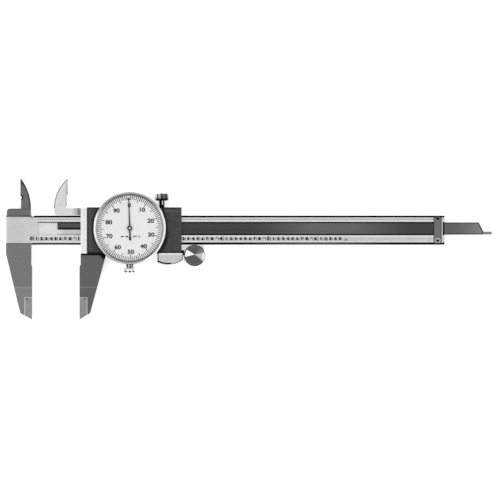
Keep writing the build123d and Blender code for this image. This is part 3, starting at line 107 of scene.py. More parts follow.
class Finish:
    """One grey finish, with masks on the piece's own coordinates in millimetres."""

    def __init__(self, name, level, roughness, metallic=1.0):
        self.material = bpy.data.materials.new(name)
        self.material.use_nodes = True
        self.nodes = self.material.node_tree.nodes
        self.links = self.material.node_tree.links
        self.shader = self.nodes["Principled BSDF"]
        self.shader.inputs["Metallic"].default_value = metallic
        self.shader.inputs["Roughness"].default_value = roughness
        self.roughness = roughness
        self.tone = linear(level)
        coordinates = self.nodes.new("ShaderNodeTexCoord")
        scale = self.nodes.new("ShaderNodeVectorMath")
        scale.operation = "SCALE"
        scale.inputs["Scale"].default_value = 1 / MM
        self.links.new(coordinates.outputs["Object"], scale.inputs[0])
        self.place = scale.outputs[0]
        split = self.nodes.new("ShaderNodeSeparateXYZ")
        self.links.new(self.place, split.inputs[0])
        self.x, self.y, self.z = split.outputs
        upright = self.nodes.new("ShaderNodeSeparateXYZ")
        self.links.new(coordinates.outputs["Normal"], upright.inputs[0])
        self.lean = upright.outputs[2]

    def feed(self, value, socket):
        """Link a socket, or set a number."""
        if isinstance(value, (int, float)):
            socket.default_value = value
        else:
            self.links.new(value, socket)

    def math(self, operation, a, b=0.0, c=0.0):
        """Result of one Math node."""
        node = self.nodes.new("ShaderNodeMath")
        node.operation = operation
        for value, socket in zip((a, b, c), node.inputs):
            self.feed(value, socket)
        return node.outputs[0]

    def above(self, value, level, soft=0.05):
        """Mask that rises from 0 to 1 round a level."""
        node = self.nodes.new("ShaderNodeMapRange")
        node.interpolation_type = "SMOOTHSTEP"
        self.feed(value, node.inputs["Value"])
        node.inputs["From Min"].default_value = level - soft
        node.inputs["From Max"].default_value = level + soft
        return node.outputs["Result"]

    def below(self, value, level, soft=0.05):
        """Mask that falls from 1 to 0 round a level."""
        return self.math("SUBTRACT", 1.0, self.above(value, level, soft))

    def between(self, value, low, high, soft=0.05):
        """Mask that is 1 between two levels."""
        return self.math("MULTIPLY", self.above(value, low, soft), self.below(value, high, soft))

    def all_of(self, *masks):
        """Where every mask holds."""
        result = masks[0]
        for mask in masks[1:]:
            result = self.math("MULTIPLY", result, mask)
        return result

    def either(self, *masks):
        """Where any mask holds."""
        result = masks[0]
        for mask in masks[1:]:
            result = self.math("MAXIMUM", result, mask)
        return result

    def away(self, centre):
        """Distance from an upright axis."""
        dx = self.math("SUBTRACT", self.x, centre[0])
        dy = self.math("SUBTRACT", self.y, centre[1])
        return self.math("SQRT", self.math("ADD", self.math("MULTIPLY", dx, dx), self.math("MULTIPLY", dy, dy)))

    def walls(self):
        """Mask of upright faces."""
        return self.below(self.math("ABSOLUTE", self.lean), 0.3, 0.1)

    def facing(self, centre, heading, half, soft=0.06):
        """Mask of the sector round an axis that opens towards a heading, in degrees."""
        reach = self.math("MAXIMUM", self.away(centre), 0.001)
        dx = self.math("MULTIPLY", self.math("SUBTRACT", self.x, centre[0]), cos(radians(heading)))
        dy = self.math("MULTIPLY", self.math("SUBTRACT", self.y, centre[1]), sin(radians(heading)))
        towards = self.math("DIVIDE", self.math("ADD", dx, dy), reach)
        return self.above(towards, cos(radians(half)), soft)

    def graduations(self, soft=0.5):
        """Mask that repeats at each of the dial's hundred graduations."""
        turn = self.math("ARCTAN2", self.y, self.x)
        wave = self.math("COSINE", self.math("MULTIPLY", self.math("SUBTRACT", turn, radians(90 + DIAL_TURN)), 100.0))
        return self.above(wave, 0.2, soft)

    def shade(self, mask, level, share=1.0):
        """Blend the tone towards a screen grey where a mask holds."""
        if share != 1.0:
            mask = self.math("MULTIPLY", mask, share)
        node = self.nodes.new("ShaderNodeMix")
        self.feed(mask, node.inputs["Factor"])
        self.feed(self.tone, node.inputs["A"])
        self.feed(linear(level), node.inputs["B"])
        self.tone = node.outputs["Result"]

    def grain(self, scale, share, stretch=(1, 1, 1), rough=0.0, bump=0.0, detail=3.0):
        """Fine variation of tone, and of roughness and height where asked."""
        mapping = self.nodes.new("ShaderNodeMapping")
        mapping.inputs["Scale"].default_value = stretch
        self.links.new(self.place, mapping.inputs["Vector"])
        noise = self.nodes.new("ShaderNodeTexNoise")
        noise.inputs["Scale"].default_value = scale
        noise.inputs["Detail"].default_value = detail
        self.links.new(mapping.outputs[0], noise.inputs["Vector"])
        value = noise.outputs["Fac"]
        centred = self.math("SUBTRACT", value, 0.5)
        self.tone = self.math("MULTIPLY", self.tone, self.math("MULTIPLY_ADD", centred, 2 * share, 1.0))
        if rough:
            self.feed(self.math("MULTIPLY_ADD", centred, 2 * rough, self.roughness),
                      self.shader.inputs["Roughness"])
        if bump:
            node = self.nodes.new("ShaderNodeBump")
            node.inputs["Strength"].default_value = bump
            node.inputs["Distance"].default_value = 0.02 * MM
            self.links.new(value, node.inputs["Height"])
            self.links.new(node.outputs[0], self.shader.inputs["Normal"])
        return value

    def brushed_in_rings(self, centre, amount):
        """Anisotropic highlight of a face turned in rings about an upright axis."""
        flat = self.nodes.new("ShaderNodeCombineXYZ")
        self.feed(self.math("SUBTRACT", self.x, centre[0]), flat.inputs[0])
        self.feed(self.math("SUBTRACT", self.y, centre[1]), flat.inputs[1])
        cross = self.nodes.new("ShaderNodeVectorMath")
        cross.operation = "CROSS_PRODUCT"
        self.links.new(flat.outputs[0], cross.inputs[0])
        cross.inputs[1].default_value = (0, 0, 1)
        turn = self.nodes.new("ShaderNodeVectorTransform")
        turn.vector_type = "VECTOR"
        turn.convert_from = "OBJECT"
        turn.convert_to = "WORLD"
        self.links.new(cross.outputs[0], turn.inputs[0])
        unit = self.nodes.new("ShaderNodeVectorMath")
        unit.operation = "NORMALIZE"
        self.links.new(turn.outputs[0], unit.inputs[0])
        self.links.new(unit.outputs[0], self.shader.inputs["Tangent"])
        self.shader.inputs["Anisotropic"].default_value = amount

    def done(self):
        """Give the tone to the shader, and the material back."""
        if isinstance(self.tone, float):
            self.shader.inputs["Base Color"].default_value = (self.tone, self.tone, self.tone, 1)
        else:
            colour = self.nodes.new("ShaderNodeCombineColor")
            for socket in colour.inputs[:3]:
                self.links.new(self.tone, socket)
            self.links.new(colour.outputs[0], self.shader.inputs["Base Color"])
        return self.material


def end_screw_finish():
    """Screw heads of the end plate, with painted black shade in the middle for their hollow, and a painted highlight
    on the lower head.
    """
    f = Finish("end_plate_screw_steel", 112, 0.36)
    # Painted highlight on the lower head
    f.shade(f.below(f.away(END_SCREWS[1]), 1.2), 160)
    # Painted black shade for the hollow in each head
    for centre in END_SCREWS:
        f.shade(f.below(f.away(centre), 0.72, 0.12), 0)
    f.grain(2.0, 0.06)
    return f.done()


def knife_marks(finish, face, side, level, highlight_level, shade_level):
    """Painted light and shade at the hollow-ground tip of an outside jaw: a lighter zone, painted highlights along
    its edges and a painted dark spot.
    """
    back = face + side * KNIFE_WIDTH
    x_limits = (min(face, back), max(face, back))
    zone = finish.all_of(finish.between(finish.x, *x_limits), finish.below(finish.y, KNIFE_TOP, 0.1))
    # Zone painted lighter, as painted light on its tilted ground face
    finish.shade(zone, level)
    # Painted highlights along the zone's back and top edges
    along_back = finish.between(finish.x, back - 0.25, back + 0.25, 0.15)
    along_top = finish.between(finish.y, KNIFE_TOP - 0.3, KNIFE_TOP + 0.2, 0.15)
    edge_highlight = finish.either(finish.all_of(along_back, finish.below(finish.y, KNIFE_TOP, 0.1)),
                        finish.all_of(along_top, finish.between(finish.x, *x_limits)))
    finish.shade(edge_highlight, highlight_level, 0.8)
    # Painted dark spot of shade in the zone
    middle = face + side * KNIFE_WIDTH * 0.72
    shade_spot = finish.all_of(finish.between(finish.x, middle - 0.8, middle + 0.8, 0.4),
                         finish.between(finish.y, KNIFE_TOP - 1.0, KNIFE_TOP - 0.35, 0.25))
    finish.shade(shade_spot, shade_level, 0.9)


def beam_finish():
    """Satin front of the beam and dark ground jaws, with painted black shade along the chamfers, painted shadow in
    the channel, painted highlights along edges and painted shade on upright faces and in the notch.
    """
    f = Finish("satin_beam_steel", 190, 0.34)
    f.shade(f.below(f.x, FIXED_FACE - 13.2, 0.8), 208)
    f.shade(f.all_of(f.above(f.x, FIXED_FACE - 4, 6), f.below(f.x, CHANNEL_LEFT, 1)), 196)
    upper = f.above(f.z, CHANNEL_FLOOR - 0.1)
    on_scale = f.all_of(f.above(f.x, CHANNEL_LEFT, 0.8), upper)
    top_strip = f.all_of(f.above(f.y, CHANNEL_TOP), on_scale)
    f.shade(top_strip, 201)
    f.shade(f.all_of(top_strip, f.between(f.y, 4.3, 5.0, 0.2)), 168)
    # Painted highlight along the channel's upper edge
    f.shade(f.all_of(top_strip, f.below(f.y, 4.2, 0.2)), 212)
    lower_strip = f.all_of(f.below(f.y, CHANNEL_BOTTOM), f.above(f.x, FIXED_FACE, 1), upper)
    f.shade(lower_strip, 188)
    # Painted highlight under the channel's lower edge
    f.shade(f.all_of(f.between(f.y, -4.75, -4.0, 0.15), on_scale), 212)
    f.shade(f.all_of(lower_strip, f.between(f.y, -7.5, -6.9, 0.15)), 212)
    channel = f.all_of(f.below(f.z, CHANNEL_FLOOR + 0.3), upper,
                       f.between(f.y, CHANNEL_BOTTOM - 0.1, CHANNEL_TOP + 0.1))
    f.shade(channel, 213)
    # Channel floor painted darker where the rack covers it, as painted shade
    f.shade(f.all_of(channel, f.above(f.x, -36.5, 3)), 188)
    under_rack = f.above(f.x, RACK_LEFT, 0.4)
    # Painted shadow on the channel floor under the rack, and painted shade along the channel's walls
    f.shade(f.all_of(channel, f.above(f.y, -0.85, 0.3), under_rack), 40)
    f.shade(f.all_of(channel, f.below(f.y, -3.1, 0.3), under_rack), 158, 0.8)
    f.shade(f.all_of(f.between(f.y, CHANNEL_TOP - 0.45, CHANNEL_TOP + 0.08, 0.03), on_scale), 30)
    f.shade(f.all_of(channel, f.above(f.y, CHANNEL_TOP - 0.45), under_rack), 0)
    f.shade(f.all_of(channel, f.below(f.y, CHANNEL_BOTTOM + 0.5), f.above(f.x, SLIDER_RIGHT, 2)), 4)
    f.grain(0.9, 0.05, (0.15, 1, 1), rough=0.04, bump=0.15)
    head = f.below(f.x, FIXED_FACE - 0.6)
    jaw = f.all_of(f.below(f.y, BEAM_BOTTOM + 0.85, 0.08), f.below(f.x, FIXED_FACE + 0.05))
    f.shade(jaw, 115)
    f.shade(f.all_of(jaw, f.below(f.y, TAPER, 0.3)), 126)
    # Painted highlight along the taper's step
    f.shade(f.all_of(jaw, f.between(f.y, TAPER - 0.25, TAPER + 0.25, 0.12)), 150, 0.7)
    f.shade(f.all_of(head, f.above(f.y, BEAM_TOP - 0.75, 0.08)), 107)
    inside_jaw = f.all_of(head, f.above(f.y, SHOULDER_TOP, 0.3))
    f.shade(inside_jaw, 104)
    # Painted dark shade along the jaw's curved edge
    f.shade(f.all_of(inside_jaw, f.above(f.away(FIXED_ARC_CENTRE), FIXED_ARC - 0.7, 0.2)), 44)
    f.shade(f.all_of(inside_jaw, f.above(f.y, 23.0, 1.2)), 62)
    # Painted shade in the notch
    f.shade(f.all_of(inside_jaw, f.below(f.away(NOTCH), 1.5, 0.3)), 14)
    # Painted dark shade along the shoulder's top edge
    f.shade(f.all_of(head, f.between(f.y, SHOULDER_TOP - 0.5, SHOULDER_TOP, 0.2)), 84)
    # Painted light and shade at the jaw's knife-edge tip
    knife_marks(f, FIXED_FACE, -1, 146, 196, 66)
    # Painted black shade and reflection along the bottom and top chamfers, lighter in places along the beam
    lower_chamfer = f.all_of(f.below(f.y, BEAM_BOTTOM + 0.9, 0.06), f.above(f.y, BEAM_BOTTOM - 0.02, 0.02))
    on_beam = f.above(f.x, FIXED_FACE + 0.05, 0.02)
    beyond = f.above(f.x, -20, 2)
    lower_shade_line = f.all_of(f.below(f.y, BEAM_BOTTOM + 1.25, 0.1), f.above(f.y, BEAM_BOTTOM - 0.02, 0.02), beyond)
    in_front = f.above(f.z, BEAM_FRONT - 0.84, 0.03)
    f.shade(f.all_of(f.either(f.all_of(lower_chamfer, on_beam), lower_shade_line), in_front), 2)
    f.shade(f.all_of(lower_shade_line, f.above(f.x, 24, 10), in_front), 34)
    f.shade(f.all_of(lower_shade_line, f.above(f.x, 78, 22), in_front), 90)
    f.shade(f.all_of(lower_shade_line, f.above(f.x, 122, 22), in_front), 24)
    f.shade(f.all_of(f.above(f.y, BEAM_TOP - 1.0, 0.06), f.above(f.x, FIXED_FACE - 0.6), in_front), 3)
    # Upright faces painted darker, as painted shade
    f.shade(f.all_of(f.walls(), on_beam), 172)
    # Painted shadow line along the channel's lower edge
    channel_edge = f.between(f.y, CHANNEL_BOTTOM - 0.1, CHANNEL_BOTTOM + 0.05, 0.03)
    f.shade(f.all_of(channel_edge, f.above(f.x, -30), upper), 40)
    f.grain(1.0, 0.16)
    return f.done()


def slider_finish():
    """Bright strip and inside jaw, dark outside jaw and pale thumb rest, with painted shadows on the arm, the outside
    jaw and round the rest, painted highlights on edges and painted shade on upright faces.
    """
    f = Finish("satin_slider_steel", 226, 0.32)
    f.shade(f.between(f.x, -24.75, -24.35, 0.2), 208, 0.7)
    arm = f.all_of(f.below(f.x, SLIDER_LEFT), f.above(f.y, BEAM_TOP))
    f.shade(arm, 207)
    outline = f.above(f.away(MOVING_ARC_CENTRE), MOVING_ARC - 0.5, 0.25)
    # Painted dark shade along the arm's curved edge
    f.shade(f.all_of(arm, outline, f.above(f.y, ARM_TOP)), 118)
    f.shade(f.all_of(arm, f.above(f.x, -33.35, 0.15), f.above(f.y, 18.3, 0.3)), 150)
    # Painted highlight on the inside jaw's bevel
    f.shade(f.all_of(arm, f.between(f.x, -34.3, -33.1, 0.1), f.between(f.y, ARM_TOP + 0.3, 18.1, 0.2)), 245)
    # Arm painted darker towards the slider, as painted shadow of its raised block
    low_arm = f.all_of(arm, f.below(f.y, ARM_TOP + 0.2))
    f.shade(f.all_of(low_arm, f.above(f.x, -30.2, 0.8)), 178)
    f.shade(f.all_of(low_arm, f.above(f.x, -28.2, 0.7)), 122)
    rest = f.all_of(f.above(f.x, REST_LEFT - 0.2), f.below(f.y, SLIDER_BOTTOM))
    f.shade(rest, 190)
    # Painted highlight along the thumb rest's top edge
    f.shade(f.all_of(rest, f.above(f.y, SLIDER_BOTTOM - 0.6, 0.15)), 244)
    to_rest_edge = f.away(REST_ARC_CENTRE)
    rest = f.all_of(rest, f.above(f.z, REST_FRONT - 0.05, 0.02))
    # Painted shade along the rest's lower edge, and black painted shadow in its grooves
    f.shade(f.all_of(rest, f.above(to_rest_edge, REST_ARC - 0.5, 0.12)), 110)
    f.shade(f.all_of(rest, f.above(to_rest_edge, REST_ARC - 1.15, 0.12), f.below(f.x, 22.4, 0.3)), 2)
    # Painted black shadow lines at the rest's left and right edges
    f.shade(f.all_of(rest, f.below(f.x, REST_LEFT + 0.5, 0.08)), 0)
    f.shade(f.all_of(rest, f.above(f.x, REST_RIGHT - 0.3, 0.05)), 2)
    # Upright faces painted darker, as painted shade
    f.shade(f.all_of(f.walls(), f.above(f.x, SLIDER_LEFT + 0.05)), 188)
    f.grain(1.0, 0.05, (1, 0.2, 1), rough=0.04, bump=0.15)
    jaw = f.all_of(f.below(f.x, -12.3), f.below(f.y, SLIDER_BOTTOM))
    f.shade(jaw, 95)
    # Painted highlight along the taper's step
    f.shade(f.all_of(f.between(f.y, TAPER - 0.25, TAPER + 0.25, 0.12), jaw), 124, 0.7)
    # Painted light and shade at the jaw's knife-edge tip
    knife_marks(f, MOVING_FACE, 1, 130, 180, 80)
    # Painted black shadow of the slider's body and of the dial on the outside jaw
    f.shade(f.all_of(jaw, f.above(f.y, SLIDER_BOTTOM - 0.9, 0.15)), 14)
    f.shade(f.all_of(jaw, f.below(f.away(AXIS), BEZEL_RADIUS + 2.4, 0.9)), 14)
    f.grain(1.0, 0.2)
    return f.done()


def cover_finish():
    """Dark matt cover with painted black shadow lines round the dial and along its edges, and a painted highlight
    along its lower edge above the thumb rest.
    """
    f = Finish("dark_cover_paint", 60, 0.5, metallic=0.0)
    f.shade(f.between(f.x, COVER_LEFT + 1.6, COVER_LEFT + 2.1, 0.25), 92, 0.6)
    # Painted black shadow line along the top edge
    f.shade(f.above(f.y, 10.5, 0.15), 10)
    f.shade(f.all_of(f.between(f.y, 8.6, 9.6, 0.3), f.above(f.x, 15)), 90, 0.5)
    # Painted black shadow along the bottom edge
    f.shade(f.below(f.y, SLIDER_BOTTOM + 1.05, 0.15), 3)
    # Painted highlight along the lower edge, above the thumb rest
    f.shade(f.all_of(f.below(f.y, SLIDER_BOTTOM + 0.26), f.between(f.x, REST_LEFT + 0.5, REST_RIGHT)), 235)
    # Painted black shadow along the left edge and round the dial
    f.shade(f.below(f.x, COVER_LEFT + 0.45, 0.1), 14)
    f.shade(f.below(f.away(AXIS), BEZEL_RADIUS + 0.95, 0.4), 2)
    f.shade(f.all_of(f.below(f.away(AXIS), BEZEL_RADIUS + 1.9, 0.5), f.facing(AXIS, -38, 32, 0.1)), 2)
    f.shade(f.all_of(f.below(f.away(AXIS), BEZEL_RADIUS + 1.6, 0.5), f.facing(AXIS, 38, 14, 0.05)), 2)
    f.grain(0.6, 0.6, detail=4.0)
    f.grain(3.5, 0.14, bump=0.3)
    f.shader.inputs["Specular IOR Level"].default_value = 0.3
    return f.done()


def ring_finish():
    """Satin chrome of the dial's ring, with painted reflections: bright crescents at its sides, other tones by
    sector, and the graduations reflected in its inner slope.
    """
    f = Finish("satin_ring_chrome", 176, 0.24)
    reach = f.away(AXIS)
    # Painted reflections, set by the side of the ring they face
    f.shade(f.facing(AXIS, 75, 50, 0.12), 168)
    f.shade(f.facing(AXIS, 130, 30, 0.12), 190)
    f.shade(f.facing(AXIS, 262, 40, 0.15), 190)
    outer = f.above(reach, BEZEL_RADIUS - 1.0, 0.12)
    inner = f.below(reach, BEZEL_RADIUS - 1.0, 0.12)
    f.shade(f.all_of(inner, f.facing(AXIS, 0, 30, 0.15)), 190)
    f.shade(f.all_of(outer, f.facing(AXIS, 192, 40, 0.15)), 244)
    f.shade(f.all_of(inner, f.facing(AXIS, 192, 45, 0.2)), 205)
    f.shade(f.all_of(inner, f.facing(AXIS, 315, 24, 0.1)), 150)
    f.shade(f.all_of(outer, f.facing(AXIS, -18, 50, 0.2)), 248)
    f.shade(f.all_of(outer, f.facing(AXIS, 130, 24, 0.1)), 150)
    f.shade(f.all_of(outer, f.facing(AXIS, 228, 26, 0.12)), 186)
    f.shade(f.all_of(outer, f.facing(AXIS, 270, 22, 0.1)), 180)
    f.shade(f.all_of(f.below(reach, BEZEL_RADIUS - 1.3, 0.15), f.facing(AXIS, 0, 40, 0.2)), 176)
    # Painted reflection of the graduations in the ring's inner slope
    f.shade(f.all_of(f.graduations(), f.below(reach, BEZEL_RADIUS - 1.35, 0.2)), 30, 0.55)
    f.brushed_in_rings(AXIS, 0.4)
    f.grain(1.2, 0.05, rough=0.03)
    return f.done()


def dial_finish():
    """White dial, a little grained, and painted whiter under its graduations, as painted light against the bezel's
    shade.
    """
    f = Finish("white_dial_enamel", 240, 0.6, metallic=0.0)
    # Painted light under the graduations, against the bezel's shade
    f.shade(f.above(f.away(AXIS), TICK_ZONE, 0.15), 255)
    f.grain(1.6, 0.02)
    f.shader.inputs["Specular IOR Level"].default_value = 0.1
    return f.done()


def spacer_finish():
    """White ring under the crystal, in which the graduations are reflected."""
    f = Finish("white_spacer_enamel", 240, 0.5, metallic=0.0)
    f.shade(f.graduations(), 30, 0.7)
    return f.done()


def plain_finish(name, level, roughness, metallic=1.0, scale=1.5, share=0.06, stretch=(1, 1, 1), bump=0.15):
    """Finish with one grey and a fine grain."""
    f = Finish(name, level, roughness, metallic)
    f.grain(scale, share, stretch, rough=0.03, bump=bump)
    return f.done()


def rack_finish():
    """Machined rack, painted dark for the shade of the channel it lies in, with black painted shade along its toothed
    edge and its top.
    """
    f = Finish("machined_rack_steel", 80, 0.4)
    # Painted black shade along the toothed edge and the top
    f.shade(f.below(f.y, 0.35, 0.2), 5)
    f.shade(f.above(f.y, 2.7, 0.2), 10)
    f.grain(1.2, 0.12, (1, 0.4, 1), bump=0.2)
    return f.done()


def depth_bar_finish():
    """Dark ground bar, lighter where it stands out of the beam, as painted shade inside the channel, with painted
    shadow lines along its edges and at the beam's end.
    """
    f = Finish("dark_ground_bar", 66, 0.38)
    f.shade(f.above(f.x, 82, 20), 98)
    f.shade(f.above(f.x, 134, 20), 66)
    # Painted lighter out of the channel's shade
    f.shade(f.above(f.x, BEAM_RIGHT, 0.2), 94)
    f.shade(f.above(f.x, BEAM_RIGHT + 13, 10), 124)
    f.grain(1.0, 0.08, (0.2, 1, 1), rough=0.03, bump=0.15)
    in_channel = f.below(f.x, BEAM_RIGHT, 0.2)
    outside = f.above(f.x, BEAM_RIGHT, 0.2)
    # Painted black shadow in the gaps beside the bar in the channel
    f.shade(f.all_of(in_channel, f.above(f.y, 2.7, 0.12)), 0)
    f.shade(f.all_of(in_channel, f.below(f.y, -3.05, 0.12)), 8)
    # Painted shade along its edges outside the beam
    f.shade(f.all_of(outside, f.above(f.y, 2.6, 0.12)), 34)
    f.shade(f.all_of(outside, f.below(f.y, -2.9, 0.12), f.below(f.x, DEPTH_TONGUE)), 52)
    # Painted black shadow at the beam's end
    f.shade(f.between(f.x, BEAM_RIGHT - 1.0, BEAM_RIGHT - 0.05, 0.08), 0)
    # Painted shade along the sloped edge and at the tongue's step
    across_slope = f.math("ADD", f.math("MULTIPLY", f.x, 0.891), f.math("MULTIPLY", f.y, 0.4545))
    f.shade(f.all_of(f.above(across_slope, 167.45, 0.12), f.below(f.x, DEPTH_TONGUE)), 62)
    f.shade(f.above(f.x, DEPTH_TONGUE - 0.2, 0.2), 134)
    f.shade(f.between(f.x, DEPTH_TONGUE - 0.9, DEPTH_TONGUE - 0.1, 0.2), 70, 0.8)
    return f.done()


def end_plate_finish():
    """Satin cross plate with a paler ring round its lower screw, painted shade and highlights along its edges, a
    painted highlight on its lip and a painted black shadow in the channel beyond it.
    """
    f = Finish("satin_end_plate", 108, 0.36)
    # Painted black shade along the left edge, and painted shade and highlight along the right edge
    f.shade(f.below(f.x, END_PLATE_LEFT + 0.28, 0.08), 8)
    f.shade(f.above(f.x, END_PLATE_RIGHT - 0.85, 0.12), 86)
    f.shade(f.above(f.x, END_PLATE_RIGHT - 0.4, 0.12), 130)
    f.shade(f.between(f.away(END_SCREWS[1]), 1.0, 1.55, 0.15), 168)
    f.grain(1.4, 0.08, bump=0.15)
    # Painted dark shade along the top, as on the beam's chamfer
    f.shade(f.above(f.y, BEAM_TOP - 0.85, 0.1), 30)
    # Painted highlight on the lip, and painted black shadow in the channel's opening beyond it
    f.shade(f.above(f.x, END_PLATE_RIGHT + 0.02, 0.02), 205)
    f.shade(f.all_of(f.above(f.x, END_PLATE_RIGHT + 0.42, 0.03), f.between(f.y, CHANNEL_BOTTOM, CHANNEL_TOP)), 0)
    return f.done()


def lock_finish():
    """Chrome knob with painted reflections, bright to the left with dark bands across it, a dark stem with a painted
    highlight, and painted black shade on its underside.
    """
    f = Finish("chrome_lock_screw", 66, 0.16)
    across = f.math("SUBTRACT", f.x, LOCK_X)
    # Painted reflections across the knob
    f.shade(f.below(across, -0.8, 0.4), 190)
    f.shade(f.between(across, -2.5, -1.95, 0.12), 84)
    f.shade(f.below(across, -2.9, 0.15), 214)
    f.shade(f.between(across, 0.6, 1.6, 0.25), 112)
    f.shade(f.above(across, 2.75, 0.2), 120)
    f.shade(f.between(f.y, 15.6, 16.2, 0.15), 10, 0.6)
    # Painted black shade on the underside
    f.shade(f.below(f.y, LOCK_HEAD_BOTTOM + 0.9, 0.1), 0)
    stem = f.below(f.y, LOCK_HEAD_BOTTOM)
    # Painted highlight on the stem
    f.shade(f.all_of(stem, f.between(across, 0.15, 0.65, 0.08), f.above(f.y, 12.6, 0.3)), 212)
    f.grain(0.8, 0.04, rough=0.02)
    return f.done()


def clamp_finish():
    """Nearly white chrome head with painted black shade in three flutes at its lower edge, and its end face painted
    darker as shade.
    """
    f = Finish("chrome_clamp_screw", 232, 0.2)
    # End face painted darker, as painted shade
    f.shade(f.below(f.y, CLAMP_HEAD_BOTTOM + 0.03, 0.02), 176)
    # Painted black shade in the flutes
    low = f.between(f.y, CLAMP_HEAD_BOTTOM + 0.35, CLAMP_HEAD_BOTTOM + 1.2, 0.1)
    for x in (-1.95, 0.05, 2.0):
        f.shade(f.all_of(low, f.between(f.x, x - 0.5, x + 0.5, 0.1)), 0)
    f.grain(0.8, 0.03, rough=0.02)
    return f.done()


def case_finish():
    """Turned case, with the clamp's chrome boss below it painted bright with black stripes, as painted reflections.
    """
    f = Finish("turned_case_steel", 150, 0.35)
    boss = f.below(f.y, -BEZEL_RADIUS - 0.1)
    # Painted reflections on the clamp's boss, bright with black stripes
    f.shade(boss, 228)
    for x in (-1.25, 0.2, 1.45):
        f.shade(f.all_of(boss, f.between(f.x, x - 0.34, x + 0.34, 0.1)), 0)
    f.grain(1.5, 0.05, rough=0.03, bump=0.1)
    return f.done()


def roller_finish():
    """Roller faced in fine rings, with painted reflections in bright and dark sectors, and painted shade at its rim.
    """
    f = Finish("roller_faced_in_rings", 84, 0.36)
    reach = f.away(ROLLER)
    # Painted reflections in sectors and rings round the roller
    f.shade(f.facing(ROLLER, 270, 60, 0.1), 86)
    f.shade(f.between(reach, 4.7, 5.0, 0.15), 128, 0.6)
    f.shade(f.facing(ROLLER, 32, 22, 0.08), 112)
    f.shade(f.facing(ROLLER_GLINT, 171, 23, 0.02), 238)
    f.shade(f.facing(ROLLER_GLINT, -13, 24, 0.08), 186)
    f.shade(f.all_of(f.facing(ROLLER_GLINT, -12, 22, 0.08), f.above(reach, 4.2, 0.9)), 240)
    f.shade(f.all_of(f.facing(ROLLER_GLINT, -12, 24, 0.08), f.above(reach, ROLLER_RADIUS - 0.4, 0.1)), 150)
    # Painted shade at the rim
    dark_rim = f.all_of(f.above(reach, ROLLER_RADIUS - 0.55, 0.1), f.below(f.x, ROLLER[0] + 4.2, 0.5))
    f.shade(dark_rim, 58)
    f.brushed_in_rings(ROLLER, 0.3)
    f.grain(1.1, 0.2)
    return f.done()


def bracket_finish():
    """Pale bracket behind the roller, with painted shade on its upright faces and a painted black shadow at its left
    edge.
    """
    f = Finish("roller_bracket_steel", 236, 0.34)
    # Upright faces painted darker, as painted shade
    f.shade(f.walls(), 186)
    # Painted black shadow in the gap beside the thumb rest
    f.shade(f.all_of(f.below(f.x, REST_RIGHT + 0.8, 0.1), f.below(f.y, -11.8, 0.2)), 6)
    f.grain(1.5, 0.04, rough=0.03)
    return f.done()


def glass_finish():
    """Clear crystal."""
    f = Finish("clear_crystal", 250, 0.05, metallic=0.0)
    f.shader.inputs["Alpha"].default_value = 0.025
    return f.done()


def dark_finish(name, level):
    """Black ink or paint with little gloss."""
    f = Finish(name, level, 0.6, metallic=0.0)
    f.grain(4.0, 0.2)
    f.shader.inputs["Specular IOR Level"].default_value = 0.08
    return f.done()


def dress(finish, *nodes):
    """Give a finish to CAD nodes."""
    for node in nodes:
        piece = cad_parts[node]
        piece.data.materials.clear()
        piece.data.materials.append(finish)


dress(beam_finish(), "beam")
dress(slider_finish(), "slider_body")
dress(cover_finish(), "front_cover")
dress(ring_finish(), "bezel_ring")
dress(dial_finish(), "dial_plate")
dress(spacer_finish(), "spacer_ring")
dress(glass_finish(), "crystal")
dress(rack_finish(), "rack")
dress(depth_bar_finish(), "depth_bar")
dress(end_plate_finish(), "end_plate")
dress(roller_finish(), "thumb_roller")
dress(lock_finish(), "lock_screw")
dress(clamp_finish(), "bezel_clamp_screw")
dress(dark_finish("black_needle_paint", 6), "needle")
dress(case_finish(), "dial_case")
dress(plain_finish("bright_arbor_steel", 225, 0.25), "center_pinion", "rack_pinion")
dress(plain_finish("dark_screw_steel", 76, 0.4), "rack_screws")
dress(end_screw_finish(), "end_plate_screws")
dress(plain_finish("plain_screw_steel", 120, 0.35), "cover_screws", "case_screws", "movement_screws",
      "plate_fixing_screws", "depth_bar_screws", "roller_bracket_screws", "gib_set_screws")
dress(bracket_finish(), "roller_bracket")
dress(plain_finish("polished_spring_steel", 130, 0.25), "bezel_snap_ring", "dial_retaining_ring",
      "backlash_spring", "roller_clip", "roller_axle")


def yellow_brass(name):
    """Brass of the gib and of the movement behind the dial."""
    f = Finish(name, 180, 0.35)
    value = f.grain(1.2, 0.05)
    ramp = f.nodes.new("ShaderNodeValToRGB")
    ramp.color_ramp.elements[0].color = (0.48, 0.33, 0.12, 1)
    ramp.color_ramp.elements[1].color = (0.60, 0.43, 0.17, 1)
    f.links.new(value, ramp.inputs[0])
    f.links.new(ramp.outputs[0], f.shader.inputs["Base Color"])
    return f.material


dress(yellow_brass("satin_brass"), "gib_strip", "intermediate_gear", "anti_backlash_gear",
      "movement_lower_plate", "movement_pillars", "movement_upper_plate")


# Edges of the machined pieces catch the light
def soften_edges(node, width):
    """Live weld and narrow bevel on a CAD node."""
    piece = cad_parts[node]
    weld = piece.modifiers.new("weld", "WELD")
    weld.merge_threshold = 0.001 * MM
    bevel = piece.modifiers.new("edge", "BEVEL")
    bevel.width = width * MM
    bevel.segments = 2
    bevel.limit_method = "ANGLE"
    bevel.angle_limit = radians(40)


for node, width in (("front_cover", 0.08), ("end_plate", 0.06), ("depth_bar", 0.06)):
    soften_edges(node, width)


# Print
ink = dark_finish("black_print_ink", 8)


def place_in_mesh(piece, matrix):
    """Put a piece's place into its mesh, and leave its object at the origin."""
    piece.data.transform(matrix)
    piece.matrix_world = Matrix.Identity(4)


def only(piece):
    """Select one piece and make it active."""
    bpy.ops.object.select_all(action="DESELECT")
    piece.select_set(True)
    bpy.context.view_layer.objects.active = piece


